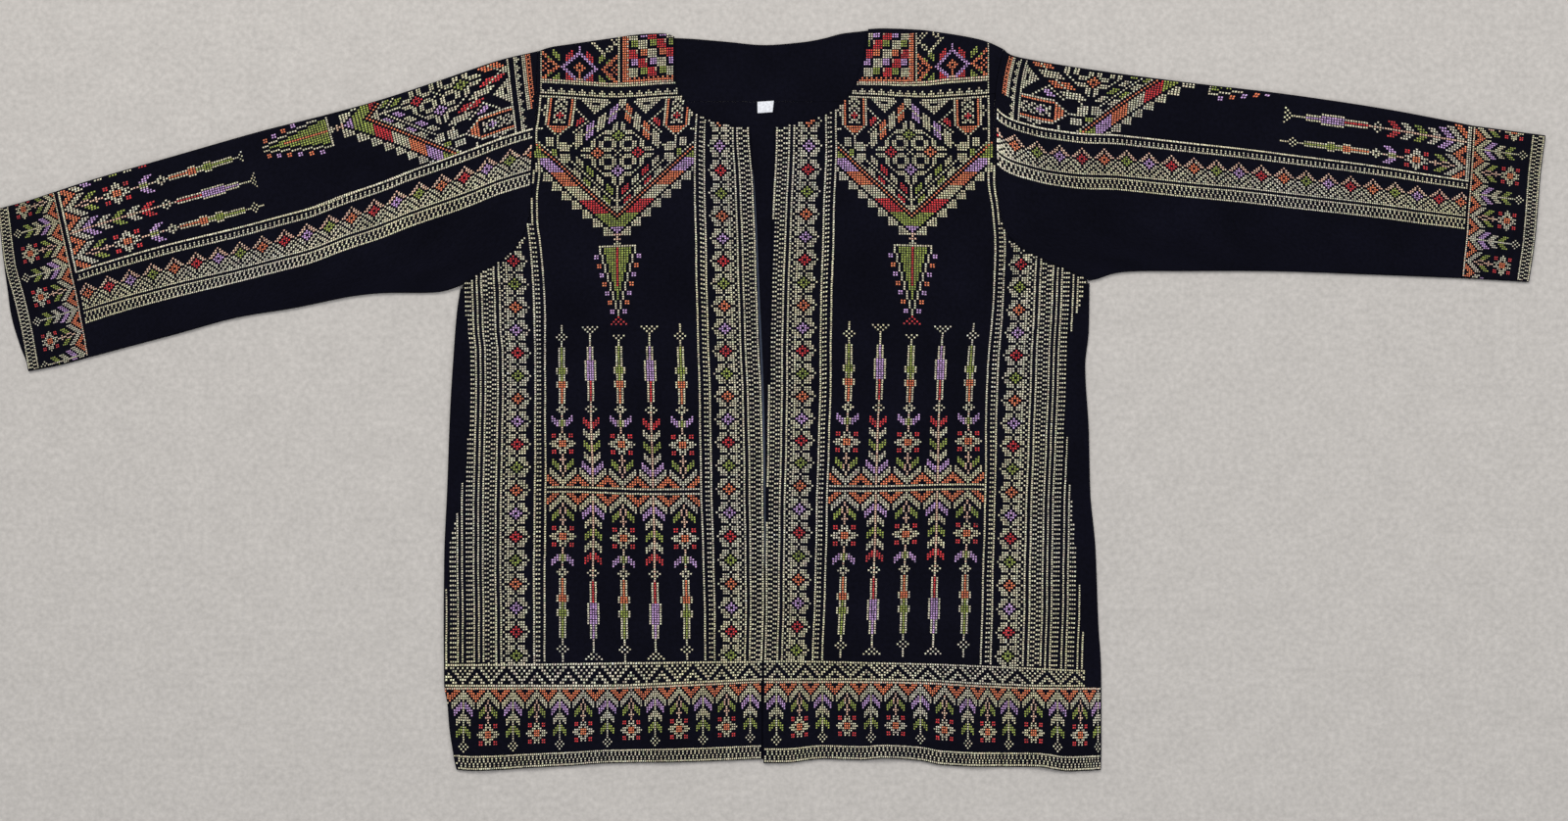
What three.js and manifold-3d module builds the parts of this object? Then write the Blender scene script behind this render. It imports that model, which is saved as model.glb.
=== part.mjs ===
// A short open jacket with embroidered fronts and sleeves, laid flat on its back.
// Millimetres, +Z up. +X is towards the sleeve on the viewer's right, +Y towards the neck.
// Each cut piece is a wall of cloth; the back lies on the surface and the fronts lie on the back.

import * as THREE from 'three';
import Module from 'manifold-3d';

const wasm = await Module();
wasm.setup();

// ---------------------------------------------------------------- driving dimensions

const wall = 1.2;              // cloth with its embroidery
const seamGap = 0.3;           // between two sewn edges
const foldedHeight = 2.9;      // two layers of cloth at a fold
const sleeveHeight = 3.4;      // the sleeves hold a little air
const tuckDepth = 7;           // how far a folded edge runs back under itself before it joins its panel
const facingDepth = 11;        // of the facing, under the left front
const facingReveal = 2;        // of the facing that shows beyond the left front's edge
const facingWall = 1.0;
const labelWall = 1.0;

const flatReach = tuckDepth - 2;   // how far the flat parts run under a folded edge

const hemJoin = -255.5;        // height of the back's seam with the hem band, and of the fronts' at the sides
const hemEnd = -325;           // mean height of the hem band's lower edge
const backDrop = 1.5;          // the hem band's back layer ends this much above the front one
const hemOpening = { left: -10, right: -8.3 };
const hemMiddle = -9;          // between the two ends of the band

const ridgeFade = 12;          // distance over which a ridge sinks to a seam or a free edge
const yokeBend = 40;           // the rows of a panel bend over this height to follow its upper seam
const hemBend = 60;            // and over this one to follow the hem seam
const underarmRoom = 6;        // between the side strips' top and the underarm
const armholeCurve = 50;       // the armhole turns in this height above the underarm
const facingEnds = { foot: -150, head: 205 };
const cuffEdgeSpread = 0.24;   // share of the cuff's width over which its lower layer reaches out

const foldSides = 4;           // facets round half a fold
const sideRows = 19;
const frontColumns = 14;
const backColumns = 6;
const sleeveStations = 16;
const sleeveAcross = 12;
const cuffStations = 5;
const hemStations = 5;
const hemFrontPlaces = 18;
const hemBackPlaces = 20;

const clothColour = 0x10101a;
const stitchedColour = 0x3a382f;   // cloth and thread seen from a distance
const facingColour = 0x2a2f42;
const labelColour = 0xe9e9ee;

// Outlines. Each table runs upwards, from the hem to the neck.

const leftHalf = {
  sideFold: [
    { y: -257, x: -291.9 }, { y: -200, x: -292.4 }, { y: -140, x: -291.9 }, { y: -80, x: -289.3 },
    { y: -10, x: -286.7 }, { y: 40, x: -283.6 }, { y: 78, x: -280.6 }, { y: 100.9, x: -277.1 },
  ],
  sideSeam: [
    { y: -257, x: -288.4 }, { y: -200, x: -288.6 }, { y: -150, x: -287.6 }, { y: -93, x: -277.1 },
    { y: -45, x: -270.1 }, { y: 7, x: -265.8 }, { y: 50, x: -267.6 }, { y: 92, x: -273 },
    { y: 100.9, x: -274.2 },
  ],
  armhole: [
    { y: 100.9, x: -277.1 }, { y: 106, x: -268.8 }, { y: 112.4, x: -258.4 }, { y: 126, x: -237.9 },
    { y: 143.6, x: -222.3 }, { y: 167.9, x: -215.3 }, { y: 198.4, x: -212.7 }, { y: 250.6, x: -210.1 },
    { y: 276.7, x: -209.6 }, { y: 309.7, x: -208.4 },
  ],
  centreFront: [
    { y: -257, x: -10 }, { y: -202, x: -8.3 }, { y: -132, x: -7.4 }, { y: -62, x: -8.3 },
    { y: 7, x: -10 }, { y: 94, x: -13.5 }, { y: 190, x: -17 }, { y: 241, x: -20.4 },
  ],
  neckline: [
    { y: 241, x: -20.4 }, { y: 243.6, x: -40.5 }, { y: 248.8, x: -57.9 }, { y: 259.3, x: -74.4 },
    { y: 274.9, x: -83.1 }, { y: 287, x: -87 }, { y: 303, x: -87.4 }, { y: 322.8, x: -87.4 },
  ],
  shoulder: [   // the fold over the shoulder, from the sleeve to the neck
    { x: -208.4, y: 309.7 }, { x: -197, y: 313.4 }, { x: -181, y: 315.8 }, { x: -146.6, y: 320.8 },
    { x: -112, y: 325.2 }, { x: -97, y: 325.6 }, { x: -87.4, y: 322.8 },
  ],
  yokeSeam: [
    { x: -209.6, y: 272 }, { x: -190, y: 271 }, { x: -164, y: 269.3 }, { x: -142, y: 268 },
    { x: -120, y: 268.8 }, { x: -103, y: 270.1 }, { x: -78, y: 271.4 },
  ],
};

const rightHalf = {
  sideFold: [
    { y: -257, x: 291.9 }, { y: -236, x: 291.6 }, { y: -200, x: 289.3 }, { y: -132, x: 286.7 },
    { y: -80, x: 282 }, { y: -28, x: 280.8 }, { y: 30, x: 277.6 }, { y: 62, x: 280.8 }, { y: 105.5, x: 281.4 },
  ],
  sideSeam: [
    { y: -257, x: 277.1 }, { y: -167, x: 271 }, { y: -97, x: 264 }, { y: -36, x: 259.7 },
    { y: 7, x: 259.7 }, { y: 55, x: 262.3 }, { y: 88, x: 272 }, { y: 105.5, x: 278.5 },
  ],
  armhole: [
    { y: 105.5, x: 281.4 }, { y: 116.5, x: 258 }, { y: 126.2, x: 236.2 }, { y: 135.7, x: 218.8 },
    { y: 153.1, x: 204.9 }, { y: 181, x: 199.7 }, { y: 224.5, x: 196.2 }, { y: 250.6, x: 196.2 },
    { y: 276.7, x: 197.9 }, { y: 294.1, x: 200.5 }, { y: 311.5, x: 204.9 },
  ],
  centreFront: [
    { y: -257, x: -8.3 }, { y: -210, x: -7.2 }, { y: -150, x: -6.2 }, { y: -80, x: -5.2 },
    { y: 7, x: -3.9 }, { y: 77, x: -1.3 }, { y: 146, x: -0.4 }, { y: 198, x: 1.3 }, { y: 242.3, x: 3 },
  ],
  neckline: [
    { y: 242.3, x: 3 }, { y: 245.3, x: 20.4 }, { y: 249.7, x: 38.7 }, { y: 257.5, x: 55.2 },
    { y: 268, x: 65.7 }, { y: 280.1, x: 73.5 }, { y: 295.8, x: 78.7 }, { y: 309, x: 82.2 }, { y: 329.4, x: 84.8 },
  ],
  shoulder: [
    { x: 204.9, y: 311.5 }, { x: 194.4, y: 316.7 }, { x: 184, y: 320.2 }, { x: 166, y: 323.8 },
    { x: 149, y: 326.4 }, { x: 131, y: 328.7 }, { x: 97, y: 330 }, { x: 84.8, y: 329.4 },
  ],
  yokeSeam: [
    { x: 197.9, y: 272 }, { x: 184, y: 271 }, { x: 158, y: 269.3 }, { x: 136, y: 268 },
    { x: 114, y: 268.8 }, { x: 97, y: 270.1 }, { x: 64, y: 271.4 },
  ],
};

const backNeck = [
  { x: -87.4, y: 322.8 }, { x: -77, y: 321.6 }, { x: -42, y: 318.2 }, { x: -7.4, y: 315.2 },
  { x: 27, y: 317.8 }, { x: 45, y: 321 }, { x: 62, y: 326 }, { x: 84.8, y: 329.4 },
];
const backYokeSeam = [
  { x: -209.4, y: 266 }, { x: -120, y: 265.4 }, { x: -7, y: 265 }, { x: 110, y: 265.4 }, { x: 197.4, y: 266 },
];

const hemSeam = [               // the fronts' seam with the hem band, which rises towards the opening
  { x: -292, y: -255.5 }, { x: -160, y: -255.5 }, { x: -60, y: -252 }, { x: -9, y: -249.7 }, { x: 60, y: -249.7 },
  { x: 130, y: -250.5 }, { x: 185, y: -253.5 }, { x: 250, y: -255.5 }, { x: 292, y: -255.5 },
];
const hemSideLeft = [
  { y: -328.9, x: -278.8 }, { y: -323.6, x: -281.4 }, { y: -306.2, x: -284.9 }, { y: -288.8, x: -287.5 },
  { y: -271.4, x: -288.9 }, { y: -257, x: -291.6 },
];
const hemSideRight = [{ y: -328.9, x: 291.4 }, { y: -306, x: 291.9 }, { y: -257, x: 291.9 }];
const hemEdgeLeft = [
  { x: -292, y: -327 }, { x: -278.8, y: -328.9 }, { x: -268, y: -329.7 }, { x: -242, y: -328.9 },
  { x: -216, y: -327.1 }, { x: -181, y: -325.4 }, { x: -147, y: -323 }, { x: -77, y: -321.9 },
  { x: -9, y: -319.3 },
];
const hemEdgeRight = [
  { x: -9, y: -322.8 }, { x: 10, y: -322.8 }, { x: 45, y: -319.3 }, { x: 80, y: -320.2 },
  { x: 97, y: -318.6 }, { x: 132, y: -321 }, { x: 149, y: -324.5 }, { x: 184, y: -326.2 },
  { x: 236, y: -326.4 }, { x: 262, y: -330.2 }, { x: 292, y: -328.9 },
];

// Sleeves and cuffs. Edges run outwards from the armhole.

const leftSleeve = {
  topFold: [
    { x: -242.3, y: 301.9 }, { x: -268.4, y: 293.2 }, { x: -294.5, y: 284.2 }, { x: -346.7, y: 267.1 },
    { x: -399, y: 252.6 }, { x: -451, y: 239.6 }, { x: -529.4, y: 217.3 }, { x: -607.7, y: 194.6 },
    { x: -637.6, y: 184.8 },
  ],
  bottomFold: [
    { x: -294.5, y: 95.9 }, { x: -346.7, y: 94.6 }, { x: -373, y: 91.8 }, { x: -425, y: 81.4 },
    { x: -477, y: 72.6 }, { x: -529.4, y: 58.3 }, { x: -581.6, y: 44.4 }, { x: -606.9, y: 37.6 },
  ],
  cuffSeam: [{ x: -637.6, y: 184.8 }, { x: -625.1, y: 129 }, { x: -613.3, y: 76 }, { x: -606.9, y: 37.6 }],
  cuffTop: [{ x: -660, y: 177.4 }, { x: -687.8, y: 169.7 }],
  cuffBottom: [{ x: -634, y: 30.4 }, { x: -660.8, y: 25.2 }],
  cuffEnd: [
    { x: -687.8, y: 169.7 }, { x: -686, y: 154.9 }, { x: -681.8, y: 118 }, { x: -674, y: 89 },
    { x: -667.5, y: 61.8 }, { x: -660.8, y: 25.2 },
  ],
  lowerReach: 6.3,             // the lower layer of the cuff shows beyond the upper one
  lowerReachAt: 0.68,          // share of the way from the top fold to the bottom fold
};

const rightSleeve = {
  topFold: [
    { x: 210.1, y: 307.1 }, { x: 236.2, y: 301 }, { x: 288.4, y: 292.6 }, { x: 366.7, y: 282.2 },
    { x: 445, y: 273 }, { x: 497, y: 265.8 }, { x: 549.4, y: 257.5 }, { x: 601.6, y: 247.6 },
    { x: 621.6, y: 243.6 },
  ],
  bottomFold: [
    { x: 288.4, y: 107.2 }, { x: 301.5, y: 111.6 }, { x: 314.5, y: 113.6 }, { x: 366, y: 114.2 },
    { x: 445, y: 114 }, { x: 523.3, y: 111.4 }, { x: 611.2, y: 107.9 },
  ],
  cuffSeam: [{ x: 621.6, y: 243.6 }, { x: 618.1, y: 190 }, { x: 614.6, y: 146 }, { x: 611.2, y: 107.9 }],
  cuffTop: [{ x: 653.8, y: 239.2 }, { x: 686, y: 234.9 }],
  cuffBottom: [{ x: 645.1, y: 106 }, { x: 671.2, y: 104.4 }],
  cuffEnd: [
    { x: 686, y: 234.9 }, { x: 681.5, y: 198 }, { x: 678, y: 155 }, { x: 675, y: 128 }, { x: 671.2, y: 104.4 },
  ],
  lowerReach: 0,
  lowerReachAt: 0.5,
};

const labelCorners = [{ x: -13.7, y: 264.6 }, { x: -13.5, y: 254.4 }, { x: -0.1, y: 255.4 }, { x: 1, y: 265.6 }];

// Folds. Each row is a soft ridge from (x0, y0) to (x1, y1), with its half width and height.

const leftFrontFolds = [
  { x0: -166, y0: 80, x1: -160, y1: -70, width: 13, height: 1.9 },
  { x0: -262, y0: 96, x1: -248, y1: 118, width: 13, height: 4.2 },
  { x0: -257, y0: 84, x1: -214, y1: 20, width: 17, height: 1.7 },
  { x0: -210, y0: 150, x1: -176, y1: 96, width: 15, height: 1.3 },
  { x0: -74, y0: 176, x1: -66, y1: 40, width: 16, height: 1.1 },
  { x0: -226, y0: -96, x1: -214, y1: -236, width: 18, height: 1.5 },
  { x0: -104, y0: -110, x1: -96, y1: -238, width: 17, height: 1.2 },
  { x0: -190, y0: 250, x1: -120, y1: 214, width: 14, height: 0.9 },
];
const rightFrontFolds = [
  { x0: 262, y0: 96, x1: 216, y1: 48, width: 16, height: 2.2 },
  { x0: 204, y0: 140, x1: 168, y1: 84, width: 15, height: 1.6 },
  { x0: 150, y0: 70, x1: 158, y1: -88, width: 15, height: 1.3 },
  { x0: 62, y0: 168, x1: 50, y1: 18, width: 16, height: 1.2 },
  { x0: 226, y0: -40, x1: 238, y1: -206, width: 17, height: 1.6 },
  { x0: 96, y0: -120, x1: 100, y1: -240, width: 18, height: 1.4 },
  { x0: 182, y0: 250, x1: 110, y1: 210, width: 14, height: 0.9 },
];
const leftSleeveFolds = [
  { x0: -218, y0: 236, x1: -272, y1: 128, width: 15, height: 1.8 },
  { x0: -236, y0: 280, x1: -318, y1: 146, width: 18, height: 1.2 },
  { x0: -290, y0: 108, x1: -372, y1: 128, width: 14, height: 1.6 },
  { x0: -350, y0: 118, x1: -470, y1: 92, width: 16, height: 1.1 },
  { x0: -440, y0: 196, x1: -566, y1: 166, width: 20, height: 0.9 },
  { x0: -560, y0: 92, x1: -640, y1: 62, width: 16, height: 1.4 },
];
const rightSleeveFolds = [
  { x0: 206, y0: 226, x1: 270, y1: 138, width: 16, height: 1.9 },
  { x0: 228, y0: 280, x1: 312, y1: 156, width: 18, height: 1.3 },
  { x0: 296, y0: 126, x1: 388, y1: 150, width: 14, height: 1.5 },
  { x0: 390, y0: 132, x1: 520, y1: 142, width: 16, height: 1.1 },
  { x0: 470, y0: 232, x1: 600, y1: 212, width: 19, height: 0.9 },
  { x0: 580, y0: 150, x1: 668, y1: 140, width: 15, height: 1.2 },
];
const hemFolds = [
  { x0: -214, y0: -250, x1: -210, y1: -330, width: 16, height: 1.4 },
  { x0: -96, y0: -250, x1: -92, y1: -330, width: 15, height: 1.1 },
  { x0: -262, y0: -290, x1: -256, y1: -332, width: 13, height: 1.5 },
  { x0: 100, y0: -250, x1: 96, y1: -330, width: 15, height: 1.6 },
  { x0: 238, y0: -250, x1: 246, y1: -334, width: 15, height: 1.6 },
  { x0: 182, y0: -286, x1: 180, y1: -330, width: 13, height: 1.0 },
];

// ---------------------------------------------------------------- curves and heights

// Smooth value of one column of a table against another, through every row.
function through(rows, from, to) {
  const table = [...rows].sort((a, b) => a[from] - b[from]);
  const slope = (i, j) => (table[j][to] - table[i][to]) / (table[j][from] - table[i][from]);
  const last = table.length - 1;
  const tangents = table.map((row, i) => {
    if (i === 0) return slope(0, 1);
    if (i === last) return slope(last - 1, last);
    const before = slope(i - 1, i);
    const after = slope(i, i + 1);
    return before * after <= 0 ? 0 : (2 * before * after) / (before + after);
  });
  return (value) => {
    let i = 0;
    while (i < last - 1 && value > table[i + 1][from]) i++;
    const span = table[i + 1][from] - table[i][from];
    const t = THREE.MathUtils.clamp((value - table[i][from]) / span, 0, 1);
    const a = table[i][to];
    const b = table[i + 1][to];
    const stay = (1 + 2 * t) * (1 - t) ** 2 * a + t * t * (3 - 2 * t) * b;
    return stay + t * (1 - t) ** 2 * span * tangents[i] + t * t * (t - 1) * span * tangents[i + 1];
  };
}

function planCurve(rows) {
  const points = rows.map((row) => new THREE.Vector3(row.x, row.y, 0));
  return new THREE.CatmullRomCurve3(points, false, 'centripetal');
}

// The same curve moved sideways by a distance, to the left of its direction.
function movedCurve(curve, distance, count = 40) {
  const points = [];
  for (let i = 0; i <= count; i++) {
    const tangent = curve.getTangentAt(i / count);
    const side = new THREE.Vector3(-tangent.y, tangent.x, 0).multiplyScalar(distance);
    points.push(curve.getPointAt(i / count).add(side));
  }
  return new THREE.CatmullRomCurve3(points, false, 'centripetal');
}

// Height of the ridges in a fold table at one place.
function foldLift(folds, x, y) {
  let lift = 0;
  for (const fold of folds) {
    const dx = fold.x1 - fold.x0;
    const dy = fold.y1 - fold.y0;
    const length = Math.hypot(dx, dy);
    const along = ((x - fold.x0) * dx + (y - fold.y0) * dy) / (length * length);
    const aside = ((x - fold.x0) * dy - (y - fold.y0) * dx) / length / fold.width;
    const end = fold.width / length;
    const taper = THREE.MathUtils.smoothstep(along, -end, end) * THREE.MathUtils.smoothstep(1 - along, -end, end);
    lift += fold.height * taper * Math.exp(-aside * aside * 1.6);
  }
  return lift;
}

const spaced = (count, from, to) => Array.from({ length: count }, (_, i) => from + ((to - from) * i) / (count - 1));

// ---------------------------------------------------------------- solids

// A wall between an outer and an inner net of points, [station][place].
// closed joins the last place to the first, as round a sleeve.
function wallSolid(outer, inner, closed) {
  const stations = outer.length;
  const places = outer[0].length;
  const position = [];
  for (const net of [outer, inner]) {
    for (const row of net) {
      for (const point of row) position.push(point.x, point.y, point.z);
    }
  }
  const out = (s, i) => s * places + (i % places);
  const inn = (s, i) => stations * places + out(s, i);
  const index = [];
  const quad = (a, b, c, d) => index.push(a, b, c, a, c, d);
  const steps = closed ? places : places - 1;
  const end = stations - 1;
  for (let i = 0; i < steps; i++) {
    for (let s = 0; s < end; s++) {
      quad(out(s, i), out(s + 1, i), out(s + 1, i + 1), out(s, i + 1));
      quad(inn(s, i), inn(s, i + 1), inn(s + 1, i + 1), inn(s + 1, i));
    }
    quad(out(0, i), out(0, i + 1), inn(0, i + 1), inn(0, i));
    quad(out(end, i + 1), out(end, i), inn(end, i), inn(end, i + 1));
  }
  for (let s = 0; s < end && !closed; s++) {
    quad(out(s, 0), inn(s, 0), inn(s + 1, 0), out(s + 1, 0));
    quad(out(s, steps), out(s + 1, steps), inn(s + 1, steps), inn(s, steps));
  }
  return outwardGeometry(position, index);
}

function outwardGeometry(position, index) {
  const corner = (i) => new THREE.Vector3().fromArray(position, index[i] * 3);
  let volume = 0;
  for (let i = 0; i < index.length; i += 3) {
    volume += corner(i).dot(corner(i + 1).cross(corner(i + 2)));
  }
  if (volume < 0) index.reverse();
  const geometry = new THREE.BufferGeometry();
  geometry.setAttribute('position', new THREE.Float32BufferAttribute(position, 3));
  geometry.setIndex(index);
  geometry.computeVertexNormals();
  return geometry;
}

// One sheet lying flat, from rows of { start, end } and a height for its lower face.
function sheetSolid(rows, columns, lowerFace, thickness, bow = () => 0) {
  const outer = [];
  const inner = [];
  for (const { start, end } of rows) {
    const line = spaced(columns + 1, 0, 1).map((share) => {
      const x = THREE.MathUtils.lerp(start.x, end.x, share);
      const y = THREE.MathUtils.lerp(start.y, end.y, share) + bow(share, start, end);
      return new THREE.Vector3(x, y, lowerFace(x, y));
    });
    inner.push(line);
    outer.push(line.map((point) => new THREE.Vector3(point.x, point.y, point.z + thickness)));
  }
  return wallSolid(outer, inner, false);
}

// One sheet lying on the surface, from rows of plan points.
function flatSolid(rows) {
  const layer = (z) => rows.map((row) => row.map((point) => new THREE.Vector3(point.x, point.y, z)));
  return wallSolid(layer(wall), layer(0), false);
}

// Points round half a fold, as distance in from the folded edge and height.
// turn goes from 1 on the upper layer to -1 on the lower one.
function foldPoints(height, thickness) {
  const radius = height / 2;
  return spaced(foldSides + 1, 1, -1).map((turn) => {
    const angle = (turn * Math.PI) / 2;
    const point = (r) => ({ depth: radius - r * Math.cos(angle), z: radius + r * Math.sin(angle) });
    return { outer: point(radius), inner: point(radius - thickness) };
  });
}

// A piece folded over along one edge: the upper layer from its seam to the fold, round it, and a
// short way back underneath. place(share, depth) is the plan, depth being the distance from the fold.
function foldedOver({ shares, width, place, upperSteps }) {
  const outer = [];
  const inner = [];
  const round = foldPoints(foldedHeight, wall);
  for (const share of shares) {
    const upper = spaced(upperSteps + 1, width(share), foldedHeight / 2).slice(0, -1);
    const layer = (pick, top, bottom) => [
      ...upper.map((depth) => place(share, depth).setZ(top)),
      ...round.map((point) => place(share, point[pick].depth).setZ(point[pick].z)),
      place(share, tuckDepth).setZ(bottom),
    ];
    outer.push(layer('outer', foldedHeight, 0));
    inner.push(layer('inner', foldedHeight - wall, wall));
  }
  return wallSolid(outer, inner, false);
}

// A flattened tube. plan(s, t) is its plan from s = 0 to 1 along and t = 0 to 1 across,
// lift(x, y) raises its upper layer, and lowerPlan places its lower layer.
function tubeSolid({ plan, lowerPlan, stations, lift }) {
  const outer = [];
  const inner = [];
  const round = foldPoints(sleeveHeight, wall);
  const edge = sleeveHeight / 2;
  for (const s of spaced(stations, 0, 1)) {
    const width = plan(s, 0).distanceTo(plan(s, 1));
    const flats = spaced(sleeveAcross, edge / width, 1 - edge / width).slice(1, -1);
    const settle = (t) => THREE.MathUtils.smoothstep(Math.min(t, 1 - t) * width, edge, edge + ridgeFade);
    const upper = (t, z) => {
      const point = plan(s, t);
      return point.setZ(z + lift(point.x, point.y) * settle(t));
    };
    const lower = (t, z) => lowerPlan(s, t).setZ(z);
    const corner = (depth, z, far) => {
      const t = far ? 1 - depth / width : depth / width;
      return z >= edge ? upper(t, z) : lower(t, z);
    };
    const ring = (pick, top, bottom) => [
      ...flats.map((t) => upper(t, top)),
      ...round.map((point) => corner(point[pick].depth, point[pick].z, true)),
      ...[...flats].reverse().map((t) => lower(t, bottom)),
      ...[...round].reverse().map((point) => corner(point[pick].depth, point[pick].z, false)),
    ];
    outer.push(ring('outer', sleeveHeight, 0));
    inner.push(ring('inner', sleeveHeight - wall, wall));
  }
  return wallSolid(outer, inner, true);
}

// Plan of a four-sided patch between two long edges and two end curves.
function patch(top, bottom, start, end) {
  const corners = [start.getPointAt(0), start.getPointAt(1), end.getPointAt(0), end.getPointAt(1)];
  return (s, t) => {
    const point = top.getPointAt(s).multiplyScalar(1 - t).addScaledVector(bottom.getPointAt(s), t);
    point.addScaledVector(start.getPointAt(t), 1 - s).addScaledVector(end.getPointAt(t), s);
    point.addScaledVector(corners[0], -(1 - s) * (1 - t)).addScaledVector(corners[1], -(1 - s) * t);
    return point.addScaledVector(corners[2], -s * (1 - t)).addScaledVector(corners[3], -s * t);
  };
}

function toManifold(geometry) {
  const mesh = new wasm.Mesh({
    numProp: 3,
    vertProperties: new Float32Array(geometry.getAttribute('position').array),
    triVerts: new Uint32Array(geometry.getIndex().array),
  });
  return new wasm.Manifold(mesh);
}

// Joins the flat and folded parts of one cut piece.
function joined(geometries) {
  const [first, ...others] = geometries.map(toManifold);
  const mesh = others.reduce((sum, solid) => sum.add(solid), first).getMesh();
  return outwardGeometry([...mesh.vertProperties], [...mesh.triVerts]);
}

// ---------------------------------------------------------------- pieces

const jacket = new THREE.Group();

function addPiece(name, geometry, colour, roughness = 0.9) {
  const material = new THREE.MeshStandardMaterial({ color: colour, roughness, metalness: 0 });
  const mesh = new THREE.Mesh(geometry, material);
  mesh.name = name;
  jacket.add(mesh);
}

function halfEdges(half) {
  const underarm = half.armhole[0].y;
  const seamX = through(half.sideSeam, 'y', 'x');
  const armholeX = through(half.armhole, 'y', 'x');
  const centreX = through(half.centreFront, 'y', 'x');
  const neckX = through(half.neckline, 'y', 'x');
  const yokeSeamY = through(half.yokeSeam, 'x', 'y');
  const corner = half.neckline[0].y;
  const towardsCentre = Math.sign(half.centreFront[0].x - half.sideFold[0].x);
  return {
    underarm,
    corner,
    towardsCentre,
    foldX: through(half.sideFold, 'y', 'x'),
    seamX,
    armholeX,
    yokeSeamY,
    seamEnd: yokeSeamY(half.yokeSeam[half.yokeSeam.length - 1].x) - seamGap,
    shoulderY: through(half.shoulder, 'x', 'y'),
    neckX,
    outerX: (y) => (y <= underarm ? seamX(y) + towardsCentre * seamGap : armholeX(y)),
    innerX: (y) => (y <= corner ? centreX(y) : neckX(y)),
  };
}

const left = halfEdges(leftHalf);
const right = halfEdges(rightHalf);
const hemSeamY = through(hemSeam, 'x', 'y');
const backSeamY = through(backYokeSeam, 'x', 'y');

const sideHeights = (edges) => spaced(sideRows, hemJoin + seamGap, edges.underarm - underarmRoom);

// Heights of the rows across a front: close together round the underarm and the neckline.
function frontRows(edges) {
  const { underarm, corner, seamEnd } = edges;
  return [
    ...sideHeights(edges),
    ...spaced(9, underarm, underarm + armholeCurve),
    ...spaced(5, underarm + armholeCurve + 12, corner - 16),
    ...spaced(6, corner, seamEnd),
  ];
}

function front(edges, folds, facingLift) {
  const heights = frontRows(edges);
  const bottom = heights[0];
  const top = heights[heights.length - 1];
  const rows = heights.map((y) => ({
    start: { x: edges.outerX(y), y },
    end: { x: edges.innerX(y), y },
  }));
  // The top rows bend to follow the yoke seam, and the bottom ones to follow the hem seam.
  const bow = (share, start, end) => {
    const x = THREE.MathUtils.lerp(start.x, end.x, share);
    const nearYoke = THREE.MathUtils.smoothstep(start.y, top - yokeBend, top);
    const nearHem = 1 - THREE.MathUtils.smoothstep(start.y, bottom, bottom + hemBend);
    return nearYoke * (edges.yokeSeamY(x) - seamGap - top) + nearHem * (hemSeamY(x) - hemJoin);
  };
  const lowerFace = (x, y) => {
    const inset = Math.abs(x - edges.innerX(Math.min(y, edges.corner)));
    const raised = facingLift * (1 - THREE.MathUtils.smoothstep(inset, 2 * facingDepth, 4 * facingDepth));
    return foldedHeight - wall + foldLift(folds, x, y) * settled(edges, x, y) + raised;
  };
  return sheetSolid(rows, frontColumns, lowerFace, wall, bow);
}

// Ridges fade out at the seams and free edges, where the cloth is held down.
function settled(edges, x, y) {
  const fade = (distance) => THREE.MathUtils.smoothstep(distance, 0, ridgeFade);
  const outer = fade(Math.abs(x - edges.outerX(y)) + ridgeFade / 4);
  const inner = fade(Math.abs(x - edges.innerX(y)));
  const lower = fade(y - hemSeamY(x) + ridgeFade / 3);
  const upper = fade(edges.yokeSeamY(x) - y);
  return outer * inner * lower * upper;
}

const facingRise = facingWall + seamGap - (foldedHeight - 2 * wall) + seamGap;
addPiece('front_left', front(left, leftFrontFolds, facingRise), stitchedColour);
addPiece('front_right', front(right, rightFrontFolds, 0), stitchedColour);

// The facing of the left front, whose edge shows beyond the embroidery.
{
  const { foot, head } = facingEnds;
  const rows = spaced(16, foot, head).map((y) => {
    const edge = left.innerX(y);
    const reveal = facingReveal * Math.sin((Math.PI * (y - foot)) / (head - foot)) ** 0.5;
    return { start: { x: edge - facingDepth, y }, end: { x: edge + reveal, y } };
  });
  addPiece('facing_left', sheetSolid(rows, 2, () => wall + seamGap, facingWall), facingColour);
}

// The back, with the plain edges that fold round to the front below the underarms.
function sideFold(edges) {
  return foldedOver({
    shares: [...sideHeights(edges), edges.underarm - 2],
    width: (y) => Math.abs(edges.seamX(y) - edges.foldX(y)),
    place: (y, depth) => new THREE.Vector3(edges.foldX(y) + edges.towardsCentre * depth, y, 0),
    upperSteps: 2,
  });
}

function backPanel() {
  const edgeX = (edges, y) => {
    if (y > edges.underarm) return edges.armholeX(y);
    return edges.foldX(y) + edges.towardsCentre * flatReach * THREE.MathUtils.smoothstep(edges.underarm - y, 0, 4);
  };
  const top = backYokeSeam[0].y - seamGap;
  const heights = [
    ...spaced(14, hemJoin + seamGap, left.underarm - underarmRoom),
    ...spaced(10, left.underarm, right.underarm + armholeCurve),
    ...spaced(6, right.underarm + armholeCurve + 10, top),
  ];
  const rows = heights.map((y) => ({
    start: { x: edgeX(left, y), y },
    end: { x: edgeX(right, y), y },
  }));
  const bow = (share, start, end) => {
    const x = THREE.MathUtils.lerp(start.x, end.x, share);
    return THREE.MathUtils.smoothstep(start.y, top - yokeBend, top) * (backSeamY(x) - seamGap - top);
  };
  return sheetSolid(rows, backColumns, () => 0, wall, bow);
}

addPiece('back', joined([backPanel(), sideFold(left), sideFold(right)]), clothColour);

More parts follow.
